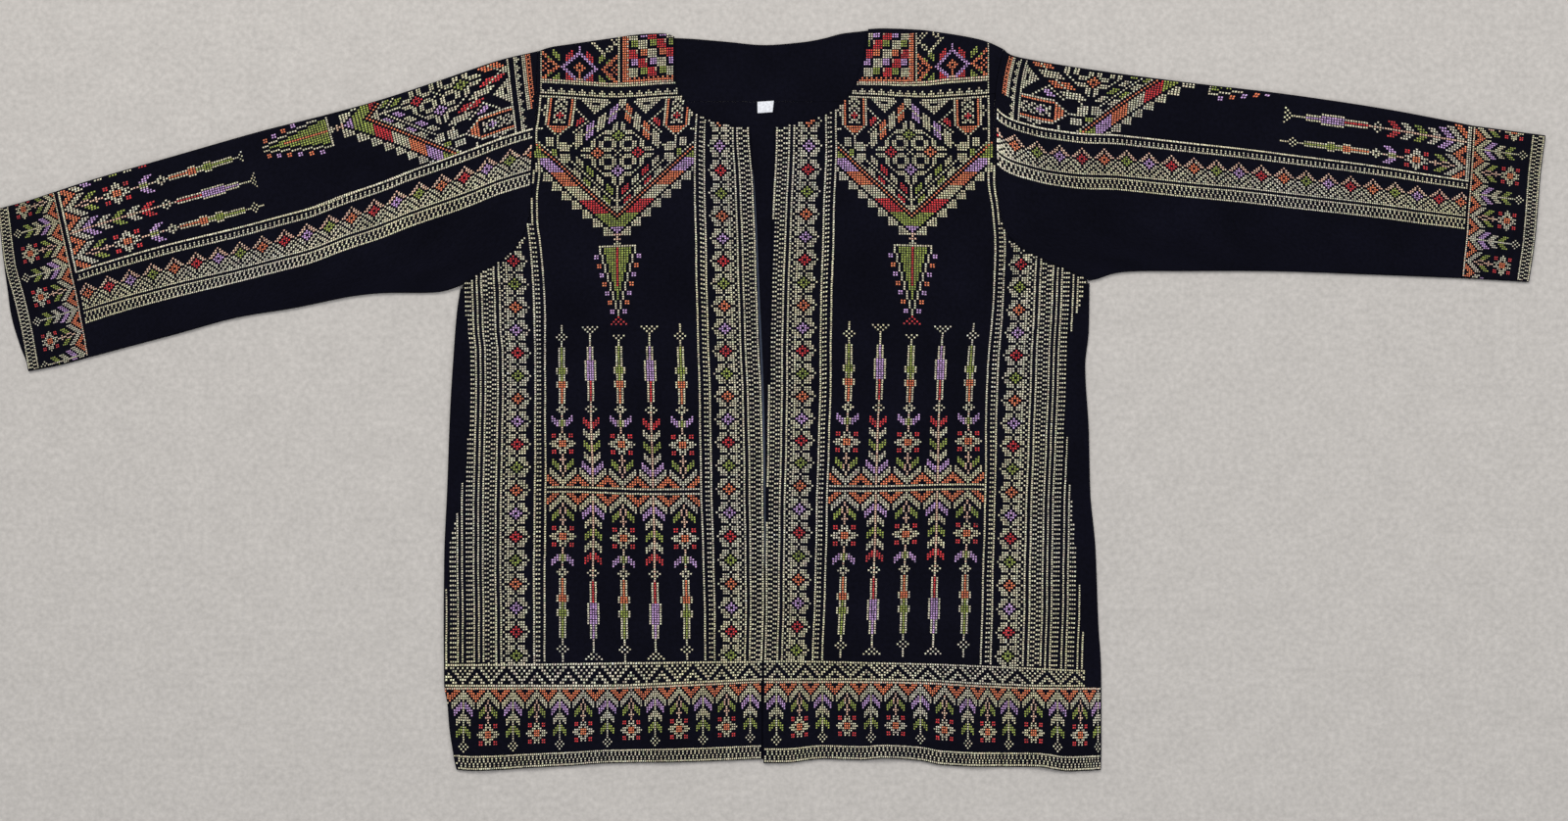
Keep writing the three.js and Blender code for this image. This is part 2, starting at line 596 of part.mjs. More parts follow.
// The yoke: one piece over both shoulders, flat behind the neck and folded to the front each side.
function yokeFlap(half, edges) {
  const shoulder = half.shoulder;
  const foldEnds = [shoulder[0].x, shoulder[shoulder.length - 1].x];
  const seamEnds = [edges.armholeX(edges.yokeSeamY(foldEnds[0])), edges.neckX(edges.yokeSeamY(foldEnds[1]))];
  const foldAt = (share) => {
    const x = THREE.MathUtils.lerp(foldEnds[0], foldEnds[1], share);
    return new THREE.Vector3(x, edges.shoulderY(x), 0);
  };
  const seamAt = (share) => {
    const x = THREE.MathUtils.lerp(seamEnds[0], seamEnds[1], share);
    return new THREE.Vector3(x, edges.yokeSeamY(x), 0);
  };
  const width = (share) => foldAt(share).distanceTo(seamAt(share));
  // A straight line from seam to fold, moved sideways so that the two ends follow armhole and neckline.
  const place = (share, depth) => {
    const rise = 1 - depth / width(share);
    const point = seamAt(share).lerp(foldAt(share), rise);
    const start = edges.armholeX(point.y) - THREE.MathUtils.lerp(seamEnds[0], foldEnds[0], rise);
    const end = edges.neckX(point.y) - THREE.MathUtils.lerp(seamEnds[1], foldEnds[1], rise);
    point.x += THREE.MathUtils.lerp(start, end, share);
    return point;
  };
  return foldedOver({ shares: spaced(12, 0, 1), width, place, upperSteps: 4 });
}

function backYoke() {
  const neckY = through(backNeck, 'x', 'y');
  const neck = [backNeck[0].x, backNeck[backNeck.length - 1].x];
  const shoulders = [leftHalf.shoulder[0].x, rightHalf.shoulder[0].x];
  const topY = (x) => {
    if (x < neck[0]) return left.shoulderY(x) - flatReach;
    if (x > neck[1]) return right.shoulderY(x) - flatReach;
    return neckY(x);
  };
  const columns = [
    ...spaced(6, shoulders[0], neck[0] - seamGap),
    ...spaced(11, neck[0], neck[1]),
    ...spaced(6, neck[1] + seamGap, shoulders[1]),
  ];
  // Every column rises from the seam to the top edge, and the two outer ones follow the armholes.
  const rows = columns.map((top) => {
    const share = (top - shoulders[0]) / (shoulders[1] - shoulders[0]);
    return spaced(6, 0, 1).map((rise) => {
      const y = THREE.MathUtils.lerp(backSeamY(top), topY(top), rise);
      const narrowing = [left.armholeX(y) - shoulders[0], right.armholeX(y) - shoulders[1]];
      return { x: top + THREE.MathUtils.lerp(...narrowing, share), y };
    });
  });
  return flatSolid(rows);
}

addPiece('yoke', joined([backYoke(), yokeFlap(leftHalf, left), yokeFlap(rightHalf, right)]), stitchedColour);

// The hem band: one strip round the whole hem, open at the centre front.
function hemBand() {
  const leftX = through(hemSideLeft, 'y', 'x');
  const rightX = through(hemSideRight, 'y', 'x');
  const edgeLeft = through(hemEdgeLeft, 'x', 'y');
  const edgeRight = through(hemEdgeRight, 'x', 'y');
  const round = foldPoints(foldedHeight, wall);
  const radius = foldedHeight / 2;
  const outer = [];
  const inner = [];
  for (const share of spaced(hemStations, 0, 1)) {
    const level = THREE.MathUtils.lerp(hemJoin, hemEnd, share);
    const sides = { left: leftX(level), right: rightX(level) };
    const height = (x, back) => {
      const edge = x < hemMiddle ? edgeLeft(x) : edgeRight(x);
      return THREE.MathUtils.lerp(back ? hemJoin : hemSeamY(x), edge + (back ? backDrop : 0), share);
    };
    const upper = (x, z) => {
      const y = height(x, false);
      const away = Math.min(Math.abs(x - sides.left), Math.abs(x - sides.right));
      const held = THREE.MathUtils.smoothstep(away, radius, radius + ridgeFade);
      return new THREE.Vector3(x, y, z + foldLift(hemFolds, x, y) * held * (0.3 + 0.7 * share));
    };
    const lower = (x, z) => new THREE.Vector3(x, height(x, true), z);
    const place = (x, z) => (z >= radius ? upper(x, z) : lower(x, z));
    const ring = (pick, top, bottom) => [
      ...spaced(hemFrontPlaces, hemOpening.left, sides.left + radius).slice(0, -1).map((x) => upper(x, top)),
      ...round.map((point) => place(sides.left + point[pick].depth, point[pick].z)),
      ...spaced(hemBackPlaces, sides.left + radius, sides.right - radius).slice(1, -1).map((x) => lower(x, bottom)),
      ...[...round].reverse().map((point) => place(sides.right - point[pick].depth, point[pick].z)),
      ...spaced(hemFrontPlaces, sides.right - radius, hemOpening.right).slice(1).map((x) => upper(x, top)),
    ];
    outer.push(ring('outer', foldedHeight, 0));
    inner.push(ring('inner', foldedHeight - wall, wall));
  }
  return wallSolid(outer, inner, false);
}

addPiece('hem_band', hemBand(), stitchedColour);

// Sleeves and their cuffs.
function addSleeve(side, half, sleeve, folds) {
  const outward = side === 'left' ? 1 : -1;
  const edges = side === 'left' ? left : right;
  const shoulderY = half.shoulder[0].y;
  const armhole = planCurve(spaced(30, shoulderY, edges.underarm).map((y) => ({ x: edges.armholeX(y), y })));
  const start = movedCurve(armhole, -seamGap * outward);
  const seam = planCurve(sleeve.cuffSeam);
  const along = (end, rows) => {
    const first = start.getPointAt(end);
    return planCurve([{ x: first.x, y: first.y }, ...rows]);
  };
  const plan = patch(along(0, sleeve.topFold), along(1, sleeve.bottomFold), start, seam);
  const lift = (x, y) => foldLift(folds, x, y);
  addPiece(`sleeve_${side}`, tubeSolid({ plan, lowerPlan: plan, stations: sleeveStations, lift }), stitchedColour);

  const cuffStart = movedCurve(seam, -seamGap * outward);
  const edge = (end, rows) => {
    const first = cuffStart.getPointAt(end);
    return planCurve([{ x: first.x, y: first.y }, ...rows]);
  };
  const cuff = patch(edge(0, sleeve.cuffTop), edge(1, sleeve.cuffBottom), cuffStart, planCurve(sleeve.cuffEnd));
  const lowerPlan = (s, t) => {
    const point = cuff(s, t);
    const reach = sleeve.lowerReach * s * Math.exp(-(((t - sleeve.lowerReachAt) / cuffEdgeSpread) ** 2));
    point.x -= outward * reach * Math.min(1, 8 * Math.min(t, 1 - t));
    return point;
  };
  addPiece(`cuff_${side}`, tubeSolid({ plan: cuff, lowerPlan, stations: cuffStations, lift }), stitchedColour);
}

addSleeve('left', leftHalf, leftSleeve, leftSleeveFolds);
addSleeve('right', rightHalf, rightSleeve, rightSleeveFolds);

// The blank label, sewn at the back yoke seam.
{
  const [topLeft, bottomLeft, bottomRight, topRight] = labelCorners;
  const rows = [{ start: topLeft, end: topRight }, { start: bottomLeft, end: bottomRight }];
  addPiece('neck_label', sheetSolid(rows, 3, () => wall + seamGap, labelWall), labelColour, 0.7);
}

// The origin is under the middle of the jacket's outline.
const outline = new THREE.Box3().setFromObject(jacket);
const middle = outline.getCenter(new THREE.Vector3());
jacket.position.set(-middle.x, -middle.y, -outline.min.z);

export default jacket;
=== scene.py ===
import math

import bpy
import numpy as np
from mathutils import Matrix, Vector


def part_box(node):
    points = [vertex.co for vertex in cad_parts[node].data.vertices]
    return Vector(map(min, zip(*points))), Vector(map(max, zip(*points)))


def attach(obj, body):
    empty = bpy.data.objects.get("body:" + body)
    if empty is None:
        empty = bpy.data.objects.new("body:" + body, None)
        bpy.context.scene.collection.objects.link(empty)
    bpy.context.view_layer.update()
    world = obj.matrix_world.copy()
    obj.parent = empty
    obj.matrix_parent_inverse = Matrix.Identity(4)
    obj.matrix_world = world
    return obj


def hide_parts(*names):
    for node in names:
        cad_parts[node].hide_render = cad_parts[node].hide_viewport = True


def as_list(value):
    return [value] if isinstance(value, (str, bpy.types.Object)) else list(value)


# Embroidered open jacket laid flat: cloth shells with cross-stitch worked over them.
# Plan tables are in millimetres, x to the right, y towards the neck, z up from the surface.

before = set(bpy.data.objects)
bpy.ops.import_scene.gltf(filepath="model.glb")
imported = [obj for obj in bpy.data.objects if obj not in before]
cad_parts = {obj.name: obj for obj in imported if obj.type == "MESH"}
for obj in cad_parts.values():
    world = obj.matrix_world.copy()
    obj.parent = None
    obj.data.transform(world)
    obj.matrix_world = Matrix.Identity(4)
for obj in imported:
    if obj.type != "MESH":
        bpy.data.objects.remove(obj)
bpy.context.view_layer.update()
mm = 0.001

# the frame's origin is under the middle of the outline, so the plan is moved to it by the label's corner
plan = dict(
    labelCorner=(-13.7, 254.4),
    pixel=0.87,              # spacing of the stitch tables, mm
    pixelOrigin=(788.5, 408),
)
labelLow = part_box("neck_label")[0]
shift = np.array([labelLow[0] / mm - plan["labelCorner"][0], labelLow[1] / mm - plan["labelCorner"][1], 0])

wall = 1.2
seamGap = 0.3
foldedHeight = 2.9
sleeveHeight = 3.4
facingDepth = 11
facingWall = 1.0
hemJoin = -255.5
hemFoot = -325
hemDepth = 75
hemMiddle = -9        # x where the two fronts meet
hemBackShort = 1.5    # by how much the back's hem lies above the front's

leftHalf = dict(
    side=-1,
    sideFold=[(-257, -291.9), (-200, -292.4), (-140, -291.9), (-80, -289.3), (-10, -286.7), (40, -283.6),
              (78, -280.6), (100.9, -277.1)],
    sideSeam=[(-257, -288.4), (-200, -288.6), (-150, -287.6), (-93, -277.1), (-45, -270.1), (7, -265.8),
              (50, -267.6), (92, -273), (100.9, -274.2)],
    armhole=[(100.9, -277.1), (106, -268.8), (112.4, -258.4), (126, -237.9), (143.6, -222.3),
             (167.9, -215.3), (198.4, -212.7), (250.6, -210.1), (276.7, -209.6), (309.7, -208.4)],
    centreFront=[(-257, -10), (-202, -8.3), (-132, -7.4), (-62, -8.3), (7, -10), (94, -13.5), (190, -17),
                 (241, -20.4)],
    neckline=[(241, -20.4), (243.6, -40.5), (248.8, -57.9), (259.3, -74.4), (274.9, -83.1), (287, -87),
              (303, -87.4), (322.8, -87.4)],
    shoulder=[(-208.4, 309.7), (-197, 313.4), (-181, 315.8), (-146.6, 320.8), (-112, 325.2), (-97, 325.6),
              (-87.4, 322.8)],
    yokeSeam=[(-209.6, 272), (-190, 271), (-164, 269.3), (-142, 268), (-120, 268.8), (-103, 270.1),
              (-78, 271.4)],
)
rightHalf = dict(
    side=1,
    sideFold=[(-257, 291.9), (-236, 291.6), (-200, 289.3), (-132, 286.7), (-80, 282), (-28, 280.8),
              (30, 277.6), (62, 280.8), (105.5, 281.4)],
    sideSeam=[(-257, 277.1), (-167, 271), (-97, 264), (-36, 259.7), (7, 259.7), (55, 262.3), (88, 272),
              (105.5, 278.5)],
    armhole=[(105.5, 281.4), (116.5, 258), (126.2, 236.2), (135.7, 218.8), (153.1, 204.9), (181, 199.7),
             (224.5, 196.2), (250.6, 196.2), (276.7, 197.9), (294.1, 200.5), (311.5, 204.9)],
    centreFront=[(-257, -8.3), (-210, -7.2), (-150, -6.2), (-80, -5.2), (7, -3.9), (77, -1.3), (146, -0.4),
                 (198, 1.3), (242.3, 3)],
    neckline=[(242.3, 3), (245.3, 20.4), (249.7, 38.7), (257.5, 55.2), (268, 65.7), (280.1, 73.5),
              (295.8, 78.7), (309, 82.2), (329.4, 84.8)],
    shoulder=[(204.9, 311.5), (194.4, 316.7), (184, 320.2), (166, 323.8), (149, 326.4), (131, 328.7),
              (97, 330), (84.8, 329.4)],
    yokeSeam=[(197.9, 272), (184, 271), (158, 269.3), (136, 268), (114, 268.8), (97, 270.1), (64, 271.4)],
)
backNeck = [(-87.4, 321.4), (-77, 321), (-42, 318.2), (-7.4, 315.2), (27, 317.8), (45, 321), (62, 325.4),
            (84.8, 328)]
backYokeSeam = [(-209.4, 266), (-120, 265.4), (-7, 265), (110, 265.4), (197.4, 266)]
hemSeam = [(-292, -255.5), (-160, -255.5), (-60, -252), (-9, -249.7), (60, -249.7), (130, -250.5),
           (185, -253.5), (250, -255.5), (292, -255.5)]
hemSideLeft = [(-328.9, -278.8), (-323.6, -281.4), (-306.2, -284.9), (-288.8, -287.5), (-271.4, -288.9),
               (-257, -291.6)]
hemSideRight = [(-328.9, 291.4), (-306, 291.9), (-257, 291.9)]
hemEdgeLeft = [(-292, -327), (-278.8, -328.9), (-268, -329.7), (-242, -328.9), (-216, -327.1),
               (-181, -325.4), (-147, -323), (-77, -321.9), (-9, -319.3)]
hemEdgeRight = [(-9, -322.8), (10, -322.8), (45, -319.3), (80, -320.2), (97, -318.6), (132, -321),
                (149, -324.5), (184, -326.2), (236, -326.4), (262, -330.2), (292, -328.9)]

leftSleeve = dict(
    outward=1,
    topFold=[(-242.3, 301.9), (-268.4, 293.2), (-294.5, 284.2), (-346.7, 267.1), (-399, 252.6),
             (-451, 239.6), (-529.4, 217.3), (-607.7, 194.6), (-637.6, 184.8)],
    bottomFold=[(-294.5, 95.9), (-346.7, 94.6), (-373, 91.8), (-425, 81.4), (-477, 72.6), (-529.4, 58.3),
                (-581.6, 44.4), (-606.9, 37.6)],
    cuffSeam=[(-637.6, 184.8), (-625.1, 129), (-613.3, 76), (-606.9, 37.6)],
    cuffTop=[(-660, 177.4), (-687.8, 169.7)],
    cuffBottom=[(-634, 30.4), (-660.8, 25.2)],
    cuffEnd=[(-687.8, 169.7), (-686, 154.9), (-681.8, 118), (-674, 89), (-667.5, 61.8), (-660.8, 25.2)],
    lowerReach=6.3,
    lowerReachAt=0.68,
)
rightSleeve = dict(
    outward=-1,
    topFold=[(210.1, 307.1), (236.2, 301), (288.4, 292.6), (366.7, 282.2), (445, 273), (497, 265.8),
             (549.4, 257.5), (601.6, 247.6), (621.6, 243.6)],
    bottomFold=[(288.4, 107.2), (301.5, 111.6), (314.5, 113.6), (366, 114.2), (445, 114), (523.3, 111.4),
                (611.2, 107.9)],
    cuffSeam=[(621.6, 243.6), (618.1, 190), (614.6, 146), (611.2, 107.9)],
    cuffTop=[(653.8, 239.2), (686, 234.9)],
    cuffBottom=[(645.1, 106), (671.2, 104.4)],
    cuffEnd=[(686, 234.9), (681.5, 198), (678, 155), (675, 128), (671.2, 104.4)],
    lowerReach=0,
    lowerReachAt=0.5,
)

# ridges and creases: x0, y0, x1, y1, half width, height; a trough has a negative height
leftFrontFolds = [
    (-166, 80, -160, -70, 13, 1.9), (-262, 96, -248, 118, 13, 4.2), (-257, 84, -214, 20, 17, 1.7),
    (-210, 150, -176, 96, 15, 1.3), (-74, 176, -66, 40, 16, 1.1), (-226, -96, -214, -236, 18, 1.5),
    (-104, -110, -96, -238, 17, 1.2), (-190, 250, -120, 214, 14, 0.9),
]
rightFrontFolds = [
    (262, 96, 216, 48, 16, 2.2), (204, 140, 168, 84, 15, 1.6), (150, 70, 158, -88, 15, 1.3),
    (62, 168, 50, 18, 16, 1.2), (226, -40, 238, -206, 17, 1.6), (96, -120, 100, -240, 18, 1.4),
    (182, 250, 110, 210, 14, 0.9),
]
leftSleeveFolds = [
    (-218, 236, -272, 128, 15, 1.8), (-236, 280, -318, 146, 18, 1.2), (-290, 108, -372, 128, 14, 1.6),
    (-350, 118, -470, 92, 16, 1.1), (-440, 196, -566, 166, 20, 0.9), (-560, 92, -640, 62, 16, 1.4),
]
rightSleeveFolds = [
    (206, 226, 270, 138, 16, 1.9), (228, 280, 312, 156, 18, 1.3), (296, 126, 388, 150, 14, 1.5),
    (390, 132, 520, 142, 16, 1.1), (470, 232, 600, 212, 19, 0.9), (580, 150, 668, 140, 15, 1.2),
]
hemFolds = [
    (-214, -250, -210, -330, 16, 1.4), (-96, -250, -92, -330, 15, 1.1), (-262, -290, -256, -332, 13, 1.5),
    (100, -250, 96, -330, 15, 1.6), (238, -250, 246, -334, 15, 1.6), (182, -286, 180, -330, 13, 1.0),
]
leftFrontCreases = [
    (-246, 112, -196, 62, 5, 0.7), (-252, 100, -206, 44, 5, -0.6), (-232, 132, -190, 108, 5, 0.5),
    (-130, 60, -122, -60, 7, -0.5), (-190, -20, -186, -120, 6, 0.4), (-48, 130, -40, 40, 7, 0.4),
    (-150, -170, -140, -250, 6, 0.5), (-60, -150, -52, -240, 6, -0.4), (-250, -150, -244, -246, 6, 0.5),
]
rightFrontCreases = [
    (250, 112, 204, 70, 5, 0.7), (256, 92, 214, 34, 5, -0.6), (238, 134, 196, 112, 5, 0.5),
    (118, 60, 126, -64, 7, -0.5), (186, -30, 192, -130, 6, 0.4), (40, 120, 34, 20, 7, 0.4),
    (66, -150, 72, -248, 6, 0.5), (146, -160, 150, -250, 6, -0.4), (210, -180, 206, -250, 5, 0.5),
]
leftSleeveCreases = [
    (-226, 206, -300, 122, 6, -0.7), (-252, 236, -322, 130, 7, 0.6), (-276, 190, -340, 112, 6, 0.5),
    (-330, 222, -392, 116, 9, 0.4), (-400, 150, -500, 118, 8, -0.4), (-520, 130, -600, 96, 8, 0.5),
]
rightSleeveCreases = [
    (216, 196, 292, 124, 6, -0.7), (246, 240, 318, 140, 7, 0.6), (280, 200, 350, 132, 6, 0.5),
    (330, 150, 420, 166, 7, 0.5), (430, 170, 540, 176, 9, -0.4), (560, 176, 606, 150, 7, 0.5),
]
hemCreases = [
    (-160, -262, -157, -326, 6, 0.6), (-40, -260, -38, -322, 6, 0.5), (60, -258, 62, -322, 6, 0.5),
    (206, -262, 201, -330, 6, -0.7), (148, -262, 150, -326, 7, 0.6), (-240, -262, -236, -330, 6, 0.5),
]


# ---- curves and heights

def smooth(value, low, high):   # smoothstep from 0 at low to 1 at high
    t = np.clip((value - low) / (high - low), 0, 1)
    return t * t * (3 - 2 * t)


def mix(a, b, t):
    return a + (b - a) * t


# Monotone Hermite curve through (key, value) rows: an inner slope is the harmonic mean of its neighbours.
def through(rows):
    keys, values = np.array(sorted(rows), float).T
    slopes = np.diff(values) / np.diff(keys)
    before, after = slopes[:-1], slopes[1:]
    same = before * after > 0
    inner = np.where(same, 2 * before * after / np.where(same, before + after, 1), 0)
    tangents = np.concatenate([slopes[:1], inner, slopes[-1:]])

    def value(at):
        at = np.asarray(at, float)
        i = np.clip(np.searchsorted(keys, at, side="right") - 1, 0, len(keys) - 2)
        span = keys[i + 1] - keys[i]
        t = np.clip((at - keys[i]) / span, 0, 1)
        stay = (1 + 2 * t) * (1 - t) ** 2 * values[i] + t * t * (3 - 2 * t) * values[i + 1]
        return stay + span * t * (1 - t) * ((1 - t) * tangents[i] - t * tangents[i + 1])

    return value


# Centripetal Catmull-Rom curve through plan points, read by its share of arc length.
def planCurve(rows, steps=40):
    points = np.array(rows, float)
    points = np.vstack([2 * points[0] - points[1], points, 2 * points[-1] - points[-2]])
    knots = np.concatenate([[0], np.cumsum(np.linalg.norm(np.diff(points, axis=0), axis=1) ** 0.5)])
    t = np.linspace(0, 1, steps, endpoint=False)[None, :, None]
    a, b, c, d = points[:-3, None], points[1:-2, None], points[2:-1, None], points[3:, None]
    ka, kb, kc, kd = (knots[i:len(knots) - 3 + i, None, None] for i in range(4))
    at = kb + (kc - kb) * t
    low = mix(mix(a, b, (at - ka) / (kb - ka)), mix(b, c, (at - kb) / (kc - kb)), (at - ka) / (kc - ka))
    high = mix(mix(b, c, (at - kb) / (kc - kb)), mix(c, d, (at - kc) / (kd - kc)), (at - kb) / (kd - kb))
    line = np.vstack([mix(low, high, t).reshape(-1, 2), points[-2]])
    run = np.concatenate([[0], np.cumsum(np.linalg.norm(np.diff(line, axis=0), axis=1))])
    return lambda share: np.stack(
        [np.interp(np.asarray(share) * run[-1], run, line[:, k]) for k in (0, 1)], -1)


# The same curve moved sideways, to the left of its direction.
def movedCurve(curve, distance):
    share = np.linspace(0, 1, 41)
    points = curve(share)
    run = np.gradient(points, axis=0)
    run /= np.linalg.norm(run, axis=1)[:, None]
    return planCurve(points + distance * np.stack([-run[:, 1], run[:, 0]], -1), 12)


# Coons patch: two long edges blended across, two end curves blended along, less the corners' bilinear part.
def patch(top, bottom, start, end):
    corner = [start(0.0), start(1.0), end(0.0), end(1.0)]

    def place(s, t):
        s, t = (np.asarray(v, float) for v in np.broadcast_arrays(s, t))
        sc, tc = s[..., None], t[..., None]
        point = top(s) * (1 - tc) + bottom(s) * tc + start(t) * (1 - sc) + end(t) * sc
        point -= (1 - sc) * (1 - tc) * corner[0] + (1 - sc) * tc * corner[1]
        return point - sc * (1 - tc) * corner[2] - sc * tc * corner[3]

    return place


# Sum of ridges: height times a bell across the line, faded out past its two ends.
def foldLift(folds, x, y):
    lift = 0
    for x0, y0, x1, y1, width, height in folds:
        dx, dy = x1 - x0, y1 - y0
        length = math.hypot(dx, dy)
        along = ((x - x0) * dx + (y - y0) * dy) / length ** 2
        aside = ((x - x0) * dy - (y - y0) * dx) / length / width
        end = width / length
        alongLift = height * smooth(along, -end, end) * smooth(1 - along, -end, end)
        lift = lift + alongLift * np.exp(-1.6 * aside ** 2)
    return lift


# Very low unevenness of handled cloth: three slow waves that never repeat together.
def handled(x, y, height=0.16):
    wave = np.sin(x / 23 + 1.9 * np.sin(y / 61)) + np.sin(y / 19 + 1.4 * np.sin(x / 47 + 2))
    return height * (wave + 0.6 * np.sin((x + y) / 13 + np.sin(x / 31)))


# Height of a surface that rolls round a fold: a quarter circle in from the edge, then level.
def rolled(depth, height):
    r = height / 2
    inside = np.clip(r - depth, 0, r)
    return r + np.sqrt(r * r - inside * inside)


# One half's edges as curves, with both edges of its front and the ends of its shoulder fold.
def halfEdges(half):
    edges = {key: through(rows) for key, rows in half.items() if key != "side"}
    side, underarm, corner = half["side"], half["armhole"][0][0], half["neckline"][0][0]
    edges.update(
        side=side, underarm=underarm, corner=corner, seamTop=half["yokeSeam"][-1][1],
        shoulderY=half["armhole"][-1][0], shoulderEnds=(half["armhole"][-1][1], half["neckline"][-1][1]),
        outer=lambda y: np.where(y <= underarm, edges["sideSeam"](y) - side * seamGap, edges["armhole"](y)),
        inner=lambda y: np.where(y <= corner, edges["centreFront"](y), edges["neckline"](y)),
    )
    return edges


left, right = halfEdges(leftHalf), halfEdges(rightHalf)
hemSeamY = through(hemSeam)
backSeamY = through(backYokeSeam)


# ---- meshes

# Mesh from points and equal-sided faces, in metres, with one optional UV pair a vertex.
def newMesh(name, points, faces, material, uv=None, sharp=50):
    mesh = bpy.data.meshes.new(name)
    faces = np.asarray(faces, np.int32)
    mesh.vertices.add(len(points))
    mesh.vertices.foreach_set("co", ((points + shift) * mm).astype(np.float32).ravel())
    mesh.loops.add(faces.size)
    mesh.loops.foreach_set("vertex_index", faces.ravel())
    mesh.polygons.add(len(faces))
    mesh.polygons.foreach_set("loop_start", np.arange(0, faces.size, faces.shape[1], dtype=np.int32))
    mesh.polygons.foreach_set("use_smooth", np.ones(len(faces), bool))
    if uv is not None:
        layer = mesh.uv_layers.new(name="grain")
        layer.data.foreach_set("uv", (uv[faces.ravel()] * mm).astype(np.float32).ravel())
    mesh.update(calc_edges=True)
    mesh.validate()
    if sharp:
        mesh.set_sharp_from_angle(angle=math.radians(sharp))
    mesh.materials.append(material)
    piece = bpy.data.objects.new(name, mesh)
    bpy.context.scene.collection.objects.link(piece)
    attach(piece, "root")
    return piece


# Faces of a closed wall between an outer and an inner net [station, place], numbered from first.
# around joins the last place to the first; openStart and openEnd leave places without an end cap.
def wallFaces(shape, first=0, around=False, openStart=None, openEnd=None):
    stations, places = shape
    out = first + np.arange(stations * places).reshape(stations, places)
    if around:
        out = np.concatenate([out, out[:, :1]], axis=1)
    inn = out + stations * places
    quads = [
        np.stack([out[:-1, :-1], out[1:, :-1], out[1:, 1:], out[:-1, 1:]], -1).reshape(-1, 4),
        np.stack([inn[:-1, :-1], inn[:-1, 1:], inn[1:, 1:], inn[1:, :-1]], -1).reshape(-1, 4),
    ]
    start = np.stack([out[0, :-1], out[0, 1:], inn[0, 1:], inn[0, :-1]], -1)
    end = np.stack([out[-1, 1:], out[-1, :-1], inn[-1, :-1], inn[-1, 1:]], -1)
    quads.append(start if openStart is None else start[~openStart])
    quads.append(end if openEnd is None else end[~openEnd])
    if not around:
        quads.append(np.stack([out[:-1, 0], inn[:-1, 0], inn[1:, 0], out[1:, 0]], -1))
        quads.append(np.stack([out[:-1, -1], out[1:, -1], inn[1:, -1], inn[:-1, -1]], -1))
    return np.concatenate(quads)


def facedOutwards(points, faces):   # turns every face when the signed volume is negative
    a, b, c, d = (points[faces[:, k]] for k in range(4))
    volume = np.einsum("ij,ij->", a, np.cross(b, c)) + np.einsum("ij,ij->", a, np.cross(c, d))
    return faces if volume > 0 else faces[:, ::-1]


def welded(points, faces, uv):   # joins points that lie together within 0.02 mm
    keys = np.round(points / 0.02).astype(np.int64)
    _, firstOf, group = np.unique(keys, axis=0, return_index=True, return_inverse=True)
    return points[firstOf], group.reshape(-1)[faces], uv[firstOf]


def wallPiece(name, outer, inner, grain, material, around=False):
    points = np.concatenate([outer.reshape(-1, 3), inner.reshape(-1, 3)])
    faces = facedOutwards(points, wallFaces(outer.shape[:2], around=around))
    return newMesh(name, points, faces, material, np.concatenate([grain.reshape(-1, 2)] * 2))


# Soft rim: a quarter circle from 1 at the edge to 0 at the given width.
def rimInset(depth, width):
    near = np.clip(depth / width, 0, 1)
    return 1 - np.sqrt(1 - (1 - near) ** 2)


# Net of a sheet whose thickness goes down towards every edge.
def sheetNets(x, y, top, rims, thickness=wall, rimWidth=0.7):
    inset = rimInset(rims, rimWidth) * 0.42 * thickness
    return np.stack([x, y, top - inset], -1), np.stack([x, y, top - thickness + inset], -1)


# Shares from 0 to 1 with extra places at both ends, at the given distances in mm for a width.
def rimmedShares(count, width, steps=(0.25, 0.7, 2.0)):
    near = np.array(steps) / width
    return np.concatenate([[0], near, np.linspace(0, 1, count + 1)[1:-1], 1 - near[::-1], [1]])


# ---- materials

def feed(tree, socket, value):   # value: another node's socket, or the input's own value
    if isinstance(value, bpy.types.NodeSocket):
        tree.links.new(value, socket)
    else:
        socket.default_value = value


def nodeIn(tree, kind, place=(0, 0), inputs=None, **settings):
    node = tree.nodes.new(kind)
    node.location = place
    for key, value in settings.items():
        setattr(node, key, value)
    for key, value in (inputs or {}).items():
        feed(tree, node.inputs[key], value)
    return node


def mathNode(tree, operation, *values):
    return nodeIn(tree, "ShaderNodeMath", inputs=dict(enumerate(values)), operation=operation).outputs[0]


def scaled(tree, vector, factor, place):
    node = nodeIn(tree, "ShaderNodeVectorMath", place, {0: vector, "Scale": factor}, operation="SCALE")
    return node.outputs[0]


def newGroup(name, inputs, outputs):   # inputs: a number for each, None for the vector
    tree = bpy.data.node_groups.new(name, "ShaderNodeTree")
    for label, default in inputs.items():
        kind = "NodeSocketVector" if default is None else "NodeSocketFloat"
        socket = tree.interface.new_socket(label, in_out="INPUT", socket_type=kind)
        if default is not None:
            socket.default_value = default
    for label in outputs:
        tree.interface.new_socket(label, in_out="OUTPUT", socket_type="NodeSocketFloat")
    given, result = (nodeIn(tree, kind, place) for kind, place in
                     (("NodeGroupInput", (-900, 0)), ("NodeGroupOutput", (700, 0))))
    return tree, given.outputs, result.inputs


